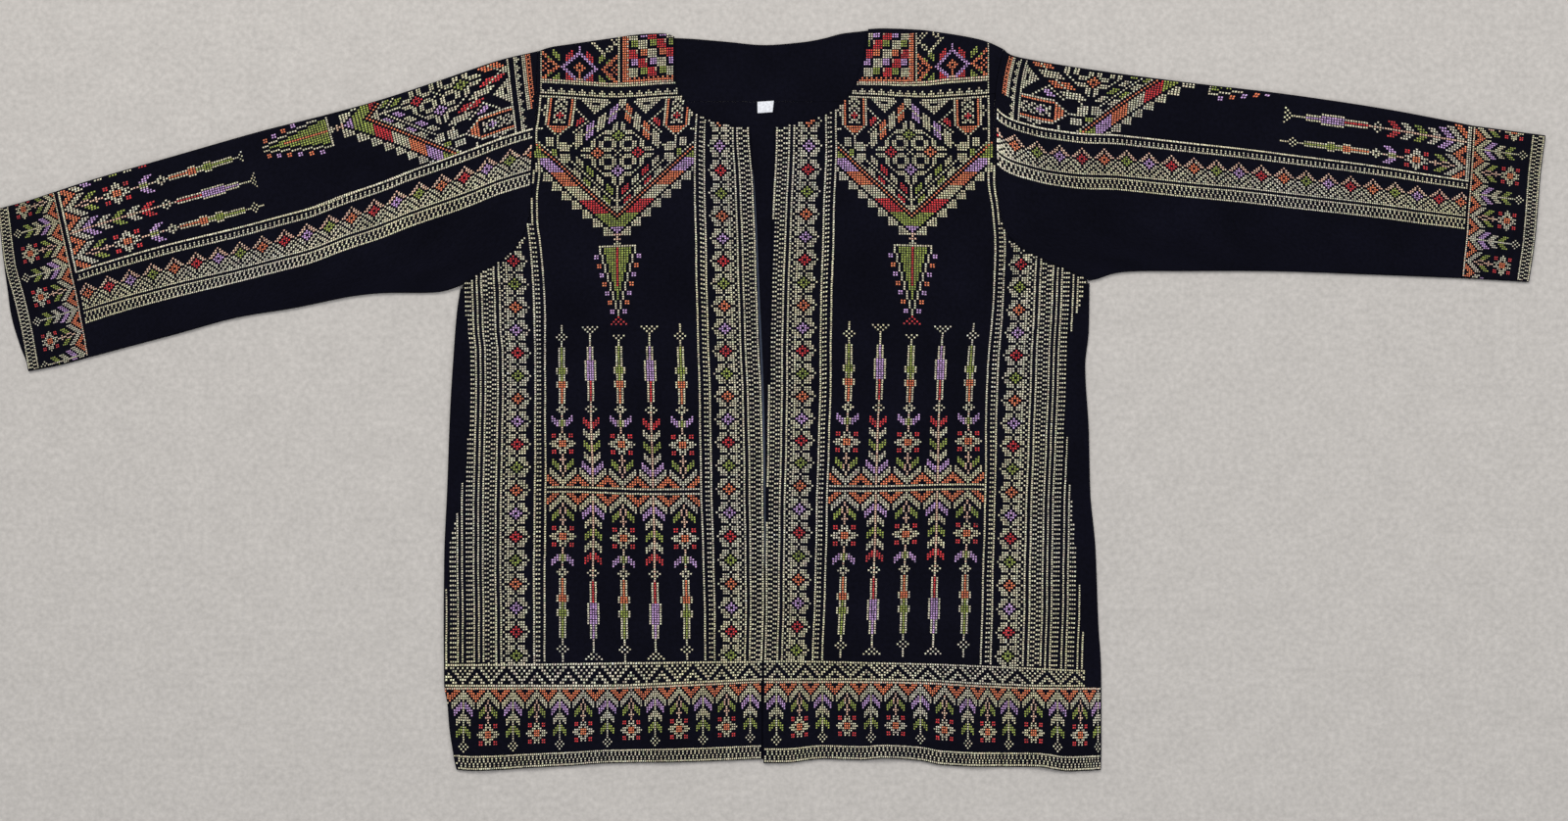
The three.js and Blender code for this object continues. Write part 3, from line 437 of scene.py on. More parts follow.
# Plain weave: the product of two sine waves, one thread each way, raised where a thread passes over.
def weaveGroup():
    inputs = dict(Vector=None, Threads=900.0, Slub=0.3)
    tree, given, result = newGroup("plainWeave", inputs, ("Height", "Shade"))
    threadPlace = scaled(tree, given["Vector"], given["Threads"], (-700, 0))
    split = nodeIn(tree, "ShaderNodeSeparateXYZ", (-520, 0), {0: threadPlace})
    waves = [mathNode(tree, "SINE", mathNode(tree, "MULTIPLY", split.outputs[k], math.pi)) for k in (0, 1)]
    slub = nodeIn(tree, "ShaderNodeTexNoise", (-520, -260), dict(Vector=threadPlace, Scale=0.35, Detail=2))
    uneven = mathNode(tree, "MULTIPLY", slub.outputs["Fac"], given["Slub"])
    feed(tree, result["Height"], mathNode(tree, "ADD", mathNode(tree, "MULTIPLY", *waves), uneven))
    feed(tree, result["Shade"], slub.outputs["Fac"])
    return tree


# Slow change of tone: soft noise squeezed between a low and a high value.
def toneGroup():
    tree, given, result = newGroup("slowTone", dict(Vector=None, Scale=8.0, Low=0.8, High=1.2), ("Tone",))
    noise = nodeIn(tree, "ShaderNodeTexNoise", (-500, 0),
                   dict(Vector=given["Vector"], Scale=given["Scale"], Detail=4, Roughness=0.6))
    spread = nodeIn(tree, "ShaderNodeMapRange", (-250, 0),
                    {"Value": noise.outputs["Fac"], "From Min": 0.3, "From Max": 0.7,
                     "To Min": given["Low"], "To Max": given["High"]})
    feed(tree, result["Tone"], spread.outputs["Result"])
    return tree


weave, slowTone = weaveGroup(), toneGroup()


def groupNode(tree, group, place, **values):
    return nodeIn(tree, "ShaderNodeGroup", place, values, node_tree=group)


def newMaterial(name, roughness, sheen=0.0, specular=0.5):
    material = bpy.data.materials.new(name)
    material.use_nodes = True
    tree = material.node_tree
    shader = tree.nodes["Principled BSDF"]
    for key, value in (("Roughness", roughness), ("Sheen Weight", sheen), ("Sheen Roughness", 0.45),
                       ("Specular IOR Level", specular)):
        shader.inputs[key].default_value = value
    return material, tree, shader


def bumped(tree, shader, height, strength, distance):
    bump = nodeIn(tree, "ShaderNodeBump", (-300, -300),
                  dict(Height=height, Strength=strength, Distance=distance))
    feed(tree, shader.inputs["Normal"], bump.outputs[0])


def wovenMaterial(name, colour, threadCount, roughness, sheen, depth, low=0.75, high=1.3, specular=0.3):
    material, tree, shader = newMaterial(name, roughness, sheen, specular)
    grain = nodeIn(tree, "ShaderNodeUVMap", (-1000, 0), uv_map="grain").outputs[0]
    cloth = groupNode(tree, weave, (-760, -160), Vector=grain, Threads=threadCount)
    tone = groupNode(tree, slowTone, (-760, 120), Vector=grain, Scale=14.0, Low=low, High=high)
    both = mathNode(tree, "MULTIPLY", tone.outputs[0], mathNode(tree, "ADD", cloth.outputs["Shade"], 0.5))
    feed(tree, shader.inputs["Base Color"], scaled(tree, colour, both, (-300, 120)))
    bumped(tree, shader, cloth.outputs["Height"], 0.5, depth)
    return material


def threadMaterial():
    material, tree, shader = newMaterial("stitchedCotton", 0.62, 0.25, 0.4)
    colour = nodeIn(tree, "ShaderNodeAttribute", (-800, 100), attribute_name="threadColour")
    where = nodeIn(tree, "ShaderNodeTexCoord", (-1000, -100)).outputs["Object"]
    tone = groupNode(tree, slowTone, (-760, -100), Vector=where, Scale=26.0, Low=0.82, High=1.14)
    toned = scaled(tree, colour.outputs["Color"], tone.outputs[0], (-400, 100))
    feed(tree, shader.inputs["Base Color"], toned)
    fibre = nodeIn(tree, "ShaderNodeTexNoise", (-760, -380), dict(Vector=where, Scale=2600))
    bumped(tree, shader, fibre.outputs["Fac"], 0.35, 0.0002)
    return material


clothMaterial = wovenMaterial("blackCotton", (0.0024, 0.0024, 0.0056), 900, 0.9, 0.012, 0.0002, specular=0.04)
facingMaterial = wovenMaterial("slateFacing", (0.030, 0.038, 0.060), 1100, 0.8, 0.1, 0.00015, specular=0.15)
labelMaterial = wovenMaterial("whiteTape", (0.62, 0.63, 0.66), 1600, 0.6, 0.2, 0.0001, 0.92, 1.05)
stitchMaterial = threadMaterial()
print("materials ready")


# ---- cloth

clothGrid = dict(frontRows=128, frontColumns=62, backRows=60, backColumns=84,
                 sleeveStations=104, sleeveAcross=44,
                 cuffStations=26, cuffAcross=40, hemColumns=120, hemRows=26, foldSteps=9)


def frontHeight(edges, folds, creases, facingLift):
    def height(x, y):
        inner = edges["inner"](np.minimum(y, edges["corner"]))
        reaches = (np.abs(x - edges["outer"](y)) + 3, np.abs(x - edges["inner"](y)), y - hemJoin + 5,
                   edges["yokeSeam"](x) - y)
        held = math.prod(smooth(reach, 0, 12) for reach in reaches)
        raised = facingLift * (1 - smooth(np.abs(x - inner), 2 * facingDepth, 4 * facingDepth))
        return foldedHeight + held * (foldLift(folds + creases, x, y) + handled(x, y)) + raised

    return height


# Front: straight rows from the outer to the inner edge, bowed near both seams to follow them.
def frontPlan(edges, share, rise):
    low, high = hemJoin + seamGap, edges["seamTop"] - seamGap
    level = mix(low, high, rise)
    x = mix(edges["outer"](level), edges["inner"](level), share)
    upper = smooth(level, high - 40, high) * (edges["yokeSeam"](x) - seamGap - high)
    lower = (1 - smooth(level, low, low + 60)) * (hemSeamY(x) - hemJoin)
    return x, level + upper + lower


def rimDistance(share, width, rise, length):   # distance to the nearest edge of a sheet
    return np.minimum(np.minimum(share, 1 - share) * width, np.minimum(rise, 1 - rise) * length)


def frontPiece(name, edges, height, size=(250, 526)):
    rise = rimmedShares(clothGrid["frontRows"], size[1])[:, None]
    share = rimmedShares(clothGrid["frontColumns"], size[0])[None, :]
    x, y = frontPlan(edges, share, rise)
    rims = rimDistance(share, size[0], rise, size[1])
    outer, inner = sheetNets(x, y, height(x, y), rims)
    return wallPiece(name, outer, inner, np.stack([x, y], -1), clothMaterial)


facingRise = facingWall + seamGap - (foldedHeight - 2 * wall) + seamGap
leftHeight = frontHeight(left, leftFrontFolds, leftFrontCreases, facingRise)
rightHeight = frontHeight(right, rightFrontFolds, rightFrontCreases, 0)
frontLeft = frontPiece("frontLeftCloth", left, leftHeight)
frontRight = frontPiece("frontRightCloth", right, rightHeight)


# Points round half a fold from the upper to the lower layer: depth in from the edge, outer and inner height.
def foldRound(height, steps):
    angle = np.linspace(1, -1, steps) * math.pi / 2
    r = height / 2
    return [(r - q * np.cos(angle), r + q * np.sin(angle)) for q in (r, r - wall)]


# Back: below the underarms one wall from seam to seam round both side folds, above them a flat sheet.
def backPiece():
    steps = clothGrid["foldSteps"]
    (outDepth, outZ), (inDepth, inZ) = foldRound(foldedHeight, steps)
    strip = 5
    across = np.linspace(0, 1, clothGrid["backColumns"])
    rise = np.linspace(0, 1, clothGrid["backRows"])

    def ring(level, depths, heights, top, bottom):   # level: y of the left and right side at each station
        rows = []
        for edges, turn in ((left, 1), (right, -1)):
            y = level[0 if turn > 0 else 1][:, None]
            fold, seam = edges["sideFold"](y), edges["sideSeam"](y)
            flat = mix(seam, fold + turn * foldedHeight / 2, np.linspace(0, 1, strip + 1)[None, :-1])
            bend = fold + turn * depths[None, :]
            x = np.concatenate([flat, bend], axis=1)
            z = np.concatenate([np.full(strip, top), heights])
            rows.append((x, np.broadcast_to(y, x.shape), np.broadcast_to(z, x.shape)))
        (xl, yl, zl), (xr, yr, zr) = rows
        x0, x1 = xl[:, -1:], xr[:, -1:]
        y0, y1 = yl[:, -1:], yr[:, -1:]
        inner = across[None, 1:-1]
        xm, ym = mix(x0, x1, inner), mix(y0, y1, inner)
        zm = np.full(xm.shape, bottom)
        return np.stack([np.concatenate(part, axis=1) for part in
                         ((xl, xm, xr[:, ::-1]), (yl, ym, yr[:, ::-1]), (zl, zm, zr[:, ::-1]))], -1)

    tops = left["underarm"] - 2, right["underarm"] - 2
    levels = [mix(hemJoin + seamGap, top, rise) for top in tops]
    outer = ring(levels, outDepth, outZ, foldedHeight, 0.0)
    inner = ring(levels, inDepth, inZ, foldedHeight - wall, wall)
    sides = strip + steps
    middle = np.zeros(outer.shape[1] - 1, bool)
    middle[sides - 1:-(sides - 1)] = True
    lowerPoints = np.concatenate([outer.reshape(-1, 3), inner.reshape(-1, 3)])
    lowerFaces = wallFaces(outer.shape[:2], openEnd=middle)

    climb = np.concatenate([[0], np.linspace(0.02, 1, 44)])[:, None]
    share = across[None, :]
    start = outer[-1, sides - 1:outer.shape[1] - sides + 1]
    endY = backSeamY(start[:, 0]) - seamGap
    y = mix(start[None, :, 1], endY[None, :], climb)
    yl, yr = y[:, :1], y[:, -1:]
    follow = smooth(climb, 0, 0.02)
    x0 = mix(start[0, 0], left["armhole"](np.maximum(yl, left["underarm"])), follow)
    x1 = mix(start[-1, 0], right["armhole"](np.maximum(yr, right["underarm"])), follow)
    x = mix(x0, x1, share)
    upperOut = np.stack([x, y, np.zeros_like(x)], -1)
    upperIn = np.stack([x, y, np.full_like(x, wall)], -1)
    upperPoints = np.concatenate([upperOut.reshape(-1, 3), upperIn.reshape(-1, 3)])
    upperFaces = wallFaces(x.shape, len(lowerPoints), openStart=np.ones(x.shape[1] - 1, bool))
    points = np.concatenate([lowerPoints, upperPoints])
    faces = np.concatenate([lowerFaces, upperFaces])
    points, faces, grain = welded(points, faces, points[:, :2])
    return newMesh("backCloth", points, facedOutwards(points, faces), clothMaterial, grain)


backCloth = backPiece()


# Yoke flap: a straight line from seam to fold, moved sideways so that its ends follow armhole and neckline.
def flapPlan(edges, share, depth):
    folds = edges["shoulderEnds"]
    seams = [float(edges[key](edges["yokeSeam"](x))) for key, x in zip(("armhole", "neckline"), folds)]
    foldX, seamX = mix(folds[0], folds[1], share), mix(seams[0], seams[1], share)
    foldY, seamY = edges["shoulder"](foldX), edges["yokeSeam"](seamX)
    width = np.hypot(foldX - seamX, foldY - seamY)
    rise = 1 - depth(width) / width
    x, y = mix(seamX, foldX, rise), mix(seamY, foldY, rise)
    start = edges["armhole"](y) - mix(seams[0], folds[0], rise)
    end = edges["neckline"](y) - mix(seams[1], folds[1], rise)
    return x + mix(start, end, share), y


# Yoke: each shoulder runs from the front seam up, round the fold and down to the back seam; the part behind
# the neck is welded between them.
def yokePiece():
    steps, upper, lower = clothGrid["foldSteps"], 16, 18
    (outDepth, outZ), (inDepth, inZ) = foldRound(foldedHeight, steps)
    share = rimmedShares(34, 121)[:, None]
    points, faces, count = [], [], 0
    for edges in (left, right):
        nets = []
        layers = ((outDepth, outZ, foldedHeight, 0.0), (inDepth, inZ, foldedHeight - wall, wall))
        for depths, heights, top, bottom in layers:
            flat = rimmedShares(upper, 50)[None, :-1]
            columns = [flapPlan(edges, share, lambda w: mix(w, foldedHeight / 2, flat))]
            bend = flapPlan(edges, share, lambda w: np.broadcast_to(depths[None, :], (len(share), steps)))
            foldX, foldY = bend[0][:, -1:], bend[1][:, -1:]
            down = np.linspace(0, 1, lower + 1)[None, 1:]
            seamX = mix(edges["armhole"](265.7), edges["shoulderEnds"][1], share)
            under = mix(foldX, seamX, down), mix(foldY, backSeamY(seamX), down)
            x, y = (np.concatenate([columns[0][k] + 0 * share, bend[k], under[k]], axis=1) for k in (0, 1))
            z = np.concatenate([np.full(flat.shape[1], top), heights, np.full(lower, bottom)])
            nets.append(np.stack([x, y, np.broadcast_to(z, x.shape)], -1))
        shape = nets[0].shape[:2]
        underPlaces = np.zeros(shape[1] - 1, bool)
        underPlaces[-lower:] = True
        points += [net.reshape(-1, 3) for net in nets]
        faces.append(wallFaces(shape, count, openEnd=underPlaces)[:, ::edges["side"]])
        count += 2 * shape[0] * shape[1]
        edges["neckColumn"] = [net[-1, -lower - 1:] for net in nets]
    across = np.linspace(0, 1, 44)[:, None]
    nets = []
    neckY = through(backNeck)
    for k in (0, 1):
        a, b = left["neckColumn"][k], right["neckColumn"][k]
        x = mix(a[None, :, 0], b[None, :, 0], across)
        down = np.linspace(0, 1, lower + 1)[None, :]
        ends = mix(a[0, 1], b[0, 1], across)
        top = mix(ends, neckY(x[:, :1]), smooth(np.minimum(across, 1 - across), 0, 0.03))
        y = mix(top, backSeamY(x), down)
        y[0], y[-1] = a[:, 1], b[:, 1]
        nets.append(np.stack([x, y, np.broadcast_to(a[None, :, 2], x.shape)], -1))
    shape = nets[0].shape[:2]
    points += [net.reshape(-1, 3) for net in nets]
    every = np.ones(shape[1] - 1, bool)
    faces.append(wallFaces(shape, count, openStart=every, openEnd=every)[:, ::-1])
    points, faces = np.concatenate(points), np.concatenate(faces)
    points, faces, grain = welded(points, faces, points[:, :2])
    return newMesh("yokeCloth", points, facedOutwards(points, faces), clothMaterial, grain)


yokeCloth = yokePiece()


# Hem band: one wall round the hem, from the centre over the left front, round the back and on to the right.
hemLeftX, hemRightX = through(hemSideLeft), through(hemSideRight)
hemLowLeft, hemLowRight = through(hemEdgeLeft), through(hemEdgeRight)


def hemY(x, share, back=False):
    edge = np.where(x < hemMiddle, hemLowLeft(x), hemLowRight(x)) + (hemBackShort if back else 0)
    return mix(hemJoin if back else hemSeamY(x), edge, share)


def hemHeight(x, y, share):
    level = mix(hemJoin, hemFoot, share)
    away = np.minimum(np.abs(x - hemLeftX(level)), np.abs(x - hemRightX(level)))
    held = smooth(away, foldedHeight / 2, foldedHeight / 2 + 12) * (0.3 + 0.7 * share)
    return foldedHeight + (foldLift(hemFolds + hemCreases, x, y) + handled(x, y)) * held


def hemPiece():
    rise = rimmedShares(clothGrid["hemRows"], hemDepth)[:, None]
    level = mix(hemJoin, hemFoot, rise)
    lx, rx = hemLeftX(level), hemRightX(level)
    r = foldedHeight / 2
    front = rimmedShares(clothGrid["hemColumns"] // 2, 280, (0.25, 0.7))[None, :]
    nets = []
    for (depths, heights), upper, lower, lift in zip(
            foldRound(foldedHeight, clothGrid["foldSteps"]), (0, wall), (0.0, wall), (1, -1)):
        xs = [mix(-10, lx + r, front[:, :-2]), lx + depths[None, :],
              mix(lx + r, rx - r, np.linspace(0, 1, clothGrid["hemColumns"])[None, 1:-1]),
              rx - depths[None, ::-1], mix(rx - r, -8.3, (1 - front[:, ::-1])[:, 2:])]
        x = np.concatenate(xs, axis=1)
        sizes = [part.shape[1] for part in xs]
        isBack = np.concatenate([np.zeros(sizes[0], bool), heights < r, np.ones(sizes[2], bool),
                                 heights[::-1] < r, np.zeros(sizes[4], bool)])[None, :]
        y = np.where(isBack, hemY(x, rise, True), hemY(x, rise))
        base = np.concatenate([np.full(sizes[0], foldedHeight - upper), heights, np.full(sizes[2], lower),
                               heights[::-1], np.full(sizes[4], foldedHeight - upper)])[None, :]
        raised = np.where(isBack, 0, hemHeight(x, y, rise) - foldedHeight)
        inset = rimInset(np.minimum(rise, 1 - rise) * hemDepth, 0.7) * 0.5
        tilt = np.where(isBack, -1, 1) * lift
        nets.append(np.stack([x, y, base + raised - tilt * inset], -1))
    grain = nets[0][..., :2]
    return wallPiece("hemBandCloth", nets[0], nets[1], grain, clothMaterial)


hemCloth = hemPiece()


# Sleeve or cuff: a flattened tube over a Coons patch, round at both folds, with ridges on its upper layer.
def tubeHeight(folds, width, x, y, t):
    edge = sleeveHeight / 2
    near = np.minimum(t, 1 - t) * width
    return (foldLift(folds, x, y) + handled(x, y)) * smooth(near, edge, edge + 12)


def tubePiece(name, place, lowerPlace, folds, stations, count):
    s = rimmedShares(stations, 300, (0.3, 0.8))[:, None]
    width = np.linalg.norm(place(s, 0.0) - place(s, 1.0), axis=-1)
    edge = sleeveHeight / 2
    flats = mix(edge / width, 1 - edge / width, np.linspace(0, 1, count)[None, 1:-1])
    inset = rimInset(np.minimum(s, 1 - s) * 300, 0.8) * 0.5
    nets = []
    for (depths, heights), upperZ, lowerZ, lift in zip(
            foldRound(sleeveHeight, clothGrid["foldSteps"]),
            (sleeveHeight, sleeveHeight - wall), (0.0, wall), (1, -1)):
        t = np.concatenate([flats, 1 - depths[None, :] / width,
                            flats[:, ::-1], depths[None, ::-1] / width], axis=1)
        z = np.concatenate([np.full(count - 2, upperZ), heights,
                            np.full(count - 2, lowerZ), heights[::-1]])[None, :]
        isUpper = z >= edge
        top, under = place(s, t), lowerPlace(s, t)
        point = np.where(isUpper[..., None], top, under)
        raised = np.where(isUpper, tubeHeight(folds, width, top[..., 0], top[..., 1], t), 0)
        z = z + raised - np.where(isUpper, 1, -1) * lift * inset
        nets.append(np.concatenate([point, z[..., None]], -1))
    grain = np.stack([s * 400 + 0 * t, t * width], -1)
    return wallPiece(name, nets[0], nets[1], grain, clothMaterial, around=True)


def sleevePlans(sleeve, edges):
    y = np.linspace(edges["shoulderY"], edges["underarm"], 30)
    start = movedCurve(planCurve(np.stack([edges["armhole"](y), y], -1), 8), -seamGap * sleeve["outward"])
    seam = planCurve(sleeve["cuffSeam"])
    top = planCurve([tuple(start(0.0))] + sleeve["topFold"])
    bottom = planCurve([tuple(start(1.0))] + sleeve["bottomFold"])
    arm = patch(top, bottom, start, seam)
    cuffStart = movedCurve(seam, -seamGap * sleeve["outward"])
    cuffTop = planCurve([tuple(cuffStart(0.0))] + sleeve["cuffTop"])
    cuffBottom = planCurve([tuple(cuffStart(1.0))] + sleeve["cuffBottom"])
    cuff = patch(cuffTop, cuffBottom, cuffStart, planCurve(sleeve["cuffEnd"]))

    def cuffUnder(s, t):   # the lower layer reaches beyond the upper one
        point = cuff(s, t)
        reach = sleeve["lowerReach"] * s * np.exp(-((t - sleeve["lowerReachAt"]) / 0.24) ** 2)
        point[..., 0] -= sleeve["outward"] * reach * np.minimum(1, 8 * np.minimum(t, 1 - t))
        return point

    return arm, cuff, cuffUnder


armLeft, cuffLeft, cuffLeftUnder = sleevePlans(leftSleeve, left)
armRight, cuffRight, cuffRightUnder = sleevePlans(rightSleeve, right)
grid = clothGrid
sleeveLeftCloth = tubePiece("sleeveLeftCloth", armLeft, armLeft, leftSleeveFolds + leftSleeveCreases,
                            grid["sleeveStations"], grid["sleeveAcross"])
sleeveRightCloth = tubePiece("sleeveRightCloth", armRight, armRight, rightSleeveFolds + rightSleeveCreases,
                             grid["sleeveStations"], grid["sleeveAcross"])
cuffLeftCloth = tubePiece("cuffLeftCloth", cuffLeft, cuffLeftUnder, leftSleeveFolds,
                          grid["cuffStations"], grid["cuffAcross"])
cuffRightCloth = tubePiece("cuffRightCloth", cuffRight, cuffRightUnder, rightSleeveFolds,
                           grid["cuffStations"], grid["cuffAcross"])


# Facing: a strip along the left front's edge that shows by a sine-shaped reveal.
def facingPiece(size=(13, 355)):
    rise = rimmedShares(90, size[1])[:, None]
    share = rimmedShares(6, size[0])[None, :]
    y = mix(-150, 205, rise)
    edge = left["inner"](y)
    reveal = 2 * np.sin(math.pi * np.clip(rise, 0.0001, 0.9999)) ** 0.5
    x = mix(edge - facingDepth, edge + reveal, share)
    y = y + 0 * x
    rims = rimDistance(share, size[0], rise, size[1])
    outer, inner = sheetNets(x, y, wall + seamGap + facingWall + 0 * x, rims, facingWall, 0.5)
    return wallPiece("facingCloth", outer, inner, np.stack([x, y], -1), facingMaterial)


# Label: a blank tape, slightly domed between its sewn ends.
def labelPiece():
    a, b, c, d = (np.array(p) for p in ((-13.7, 264.6), (-13.5, 254.4), (-0.1, 255.4), (1, 265.6)))
    s, t = rimmedShares(14, 14, (0.15, 0.4))[:, None, None], rimmedShares(12, 10, (0.15, 0.4))[None, :, None]
    point = mix(mix(b, a, t), mix(c, d, t), s)
    dome = 0.35 * np.sin(math.pi * s[..., 0]) * np.sin(math.pi * t[..., 0]) ** 0.5
    rims = rimDistance(s, 14, t, 10)[..., 0]
    outer, inner = sheetNets(point[..., 0], point[..., 1], wall + seamGap + 0.9 + dome, rims, 0.8, 0.4)
    return wallPiece("labelTape", outer, inner, point, labelMaterial)


facingCloth, labelTape = facingPiece(), labelPiece()
print("cloth shells ready")


# ---- stitch charts: rows of cells, 0 is bare cloth, letters name the thread

threads = dict(
    b=(0.78, 0.72, 0.50),     # ecru
    o=(1.0, 0.24, 0.085),     # orange
    r=(0.72, 0.020, 0.024),   # red
    g=(0.36, 0.43, 0.065),    # olive green
    l=(0.66, 0.40, 0.76),     # lilac
    p=(0.98, 0.60, 0.42),     # salmon
)
letters = {letter: i + 1 for i, letter in enumerate(threads)}


def put(chart, column, row, letter):   # cells outside the chart are left out
    column, row = (np.atleast_1d(v) for v in np.broadcast_arrays(column, row))
    keep = (column >= 0) & (column < chart.shape[1]) & (row >= 0) & (row < chart.shape[0])
    chart[row[keep], column[keep]] = letters[letter]


def motif(chart, column, row, lines, step=1):   # each line is half a row, mirrored about the column
    for i, line in enumerate(lines):
        for k, letter in enumerate(line):
            if letter != ".":
                put(chart, [column - k, column + k], row + step * i, letter)


def paint(chart, where, letter):
    chart[where] = letters[letter]


def leaf(chart, column, row, slant, letter):   # three columns of three cells, each a step higher or lower
    for k in (-1, 0, 1):
        put(chart, column + k, row + slant * k + np.array([-1, 0, 1]), letter)


flowerTree = ("b . . . p p .p .pg .pgg p.ggg p..gg pp..g p p "
              + ".b.rr bb.rr .bb oobbb oo.bbb oobbb .bb bb.rr .b.rr "
              + "p p p gbl gbll gblll b..ll p...l b bb .bb bb b " + "ob " * 7 + "oob " * 3
              + "gb gb gb ggb ggb ggb "
              + "gb " * 9 + "b b b .b b.b .b b b b b").split()
leafTreeTop = ("b .b b.b .b b p " + "rb " * 9 + "llb " * 9 + "lb " * 6 + "b b b b b b .b b.b .b.b").split()


def leaves(chart, column, row, step, start, reach, letter):   # a pair of leaves that slope away from the stem
    for k in range(1, reach + 1):
        for t in range(3):
            put(chart, [column - k, column + k], row + step * (start + k + t), letter)


def leafTree(chart, column, row, step, rows, layers, stem="b"):
    put(chart, column, row + step * np.arange(1, rows), stem)
    for start, reach, letter in layers:
        leaves(chart, column, row, step, start, reach, letter)


# Two rows of triangles that meet at a line: orange towards the line, a black diagonal, then a beige one.
def junction(chart, near, away):   # near: columns to the next axis, away: rows from the line
    paint(chart, (away >= 1) & (away < near), "o")
    paint(chart, (near >= 0) & (near <= 5) & (away > near) & (away <= near + 3), "b")
    chart[((near == 6) & (away >= 1) & (away <= 2)) | ((near == 5) & (away == 1))] = 0


def chain(chart, c, r, centre, phase, colours, fill, reach=5, upper="b", rounded=True):
    across, step = c - centre, r - phase
    along = (step + 5) % 10 - 5
    order = (step + 5) // 10 % 4
    ring = np.abs(across) + np.abs(along)
    near = np.abs(across) <= reach
    wide, high = np.abs(across), np.abs(along)
    outline = near & ((ring == 4) & (wide > 0) & (high > 0) | (ring == 5))
    if rounded:
        outline |= near & ((ring == 6) & (wide > 1) & (high > 1) | (wide == 3) & (high == 4))
    paint(chart, outline, "b")
    if upper != "b":
        paint(chart, outline & (across < 0), upper)
    for i, letter in enumerate(colours):
        paint(chart, near & (ring <= 2) & (ring > 0) & (order == i), letter)
    inwards = across * fill   # the fill side: a second diagonal and a dot between the diamonds
    gap = 5 - np.abs(along)
    paint(chart, (inwards == gap + 3) & (inwards < 6), "b")
    paint(chart, (inwards == 5) & (np.abs(along) == 5), "b")
    return chart


def frontChart(outerPhase):
    rows, columns = 259, 129
    chart = np.zeros((rows, columns), np.int8)
    r, c = np.mgrid[0:rows, 0:columns]
    x = np.abs(c - 55)
    panel = (c > 24) & (c < 86)

    chain(chart, c, r, 13, 7, "ogrl", -1)
    chart[((c < 8) | (c > 18)) & (c != 7)] = 0
    outer = np.zeros_like(chart)
    chain(outer, c, r, 97, outerPhase, "ogrl", 1)
    chart = np.where((c > 91) & (c < 104), outer, chart)
    for column in (0, 5, 7, 20, 24, 86, 103, 105, 110, 112, 114, 119, 121, 126, 128):
        chart[:, column] = letters["b"]
    even = r % 2 == 0
    for low, high, onEven in ((1, 2, False), (3, 4, True), (21, 22, True), (106, 107, True),
                              (108, 109, False), (115, 117, True), (122, 124, True)):
        paint(chart, (c >= low) & (c <= high) & (even == onEven), "b")
    paint(chart, (c >= 88) & (c <= 89) & even & (r <= 202), "b")
    paint(chart, (c == 90) & (r <= 202) | (c == 88) & (r > 202) & (r < 227), "b")
    chart[(c > 86) & (r >= 228)] = 0

    # middle lines with the triangles above and below
    near = np.abs((c - 31 + 6) % 12 - 6)
    for sign in (1, -1):
        side = np.zeros_like(chart)
        junction(side, near, sign * (r - 86) - 1)
        chart = np.where(panel & (side > 0), side, chart)
    chart[86, 25:86] = 0
    chart[[85, 87], 24:87] = letters["b"]

    layers = ((5, 4, "l"), (10, 3, "b"), (15, 3, "g"), (20, 3, "b"), (25, 3, "r"))
    for step in (1, -1):
        base = 86 + step
        for column in (31, 55, 79):
            lines = flowerTree
            if column == 55 and step == 1:
                lines = flowerTree[:61] + ["b", "b", "b", ".b", "b.b"]
            motif(chart, column, base + step, lines, step)
        for column in (43, 67):
            leafTree(chart, column, base, step, 38, layers, "p")
            motif(chart, column, base + step * 32, leafTreeTop, step)

    # the hanging pennant between the upper trees
    widths = ((162, 165, 0), (165, 169, 1), (169, 173, 2), (173, 177, 3), (177, 181, 4), (181, 185, 5),
              (185, 189, 6), (189, 193, 7))
    for low, high, wide in widths:
        paint(chart, (r >= low) & (r < high) & (x <= wide - 2), "g")
        paint(chart, (r >= low) & (r < high) & (x == wide), "b")
    paint(chart, (r == 192) & (x <= 7), "b")
    paint(chart, (r >= 175) & (r < 192) & (x == 0), "r")
    for k in range(7):
        for row in (187 - 4 * k, 188 - 4 * k):
            for column in (8 - k, 9 - k):
                put(chart, [55 - column, 55 + column], row, "lo"[k % 2])
    for k in range(4):
        put(chart, 55 + np.arange(-k, k + 1, 2), 161 - k, "r")
    for row, letter in zip(range(193, 199), "bbpppb"):
        put(chart, [54, 55, 56] if row % 2 else 55, row, letter)

    # chest: a striped V with stepped squares outside it
    band = panel & (x <= r - 198) & (x >= r - 203) & (r >= 198) & (r < 237)
    for letter, low, high in (("l", 198, 200), ("g", 201, 206), ("r", 207, 212), ("b", 213, 218),
                              ("o", 219, 224), ("l", 225, 230), ("g", 231, 236)):
        paint(chart, band & (r >= low) & (r <= high), letter)
    for k in range(8):
        across, up = x - 4 * k, r - 4 * k
        square = (across >= 2) & (across <= 5) & (up >= 197) & (up <= 200) & (c > 24) & (c < 89)
        paint(chart, square & (x > r - 197), "b")
    paint(chart, (c >= 85) & (c <= 88) & (r >= 231) & (r <= 236), "g")

    # pairs of slanting leaves along the two stems of the V and of the arch above it
    for i, along in enumerate((3, 7, 11, 15)):
        for side, lower, upper in ((-1, "rb"[i % 2], "ob"[i % 2]), (1, "gb"[i % 2], "lb"[i % 2])):
            leaf(chart, 55 + side * along, 214 + along, side, lower)
            leaf(chart, 55 + side * (along + 1), 209 + along, side, lower)
            leaf(chart, 55 + side * along, 256 - along, -side, upper)
            leaf(chart, 55 + side * along, 252 - along, -side, upper)
    inside = (c > 24) & (c < 89) & (r < 257)
    paint(chart, inside & (x == r - 205) & (x < 33), "o")
    paint(chart, inside & (x == r - 207) & (x < 31), "b")
    paint(chart, inside & ((x == r - 211) | (x == 254 - r)) & (x < 19), "b")
    paint(chart, (x == 0) & (r > 211) & (r < 219) | panel & (x + np.abs(r - 209) <= 1), "b")

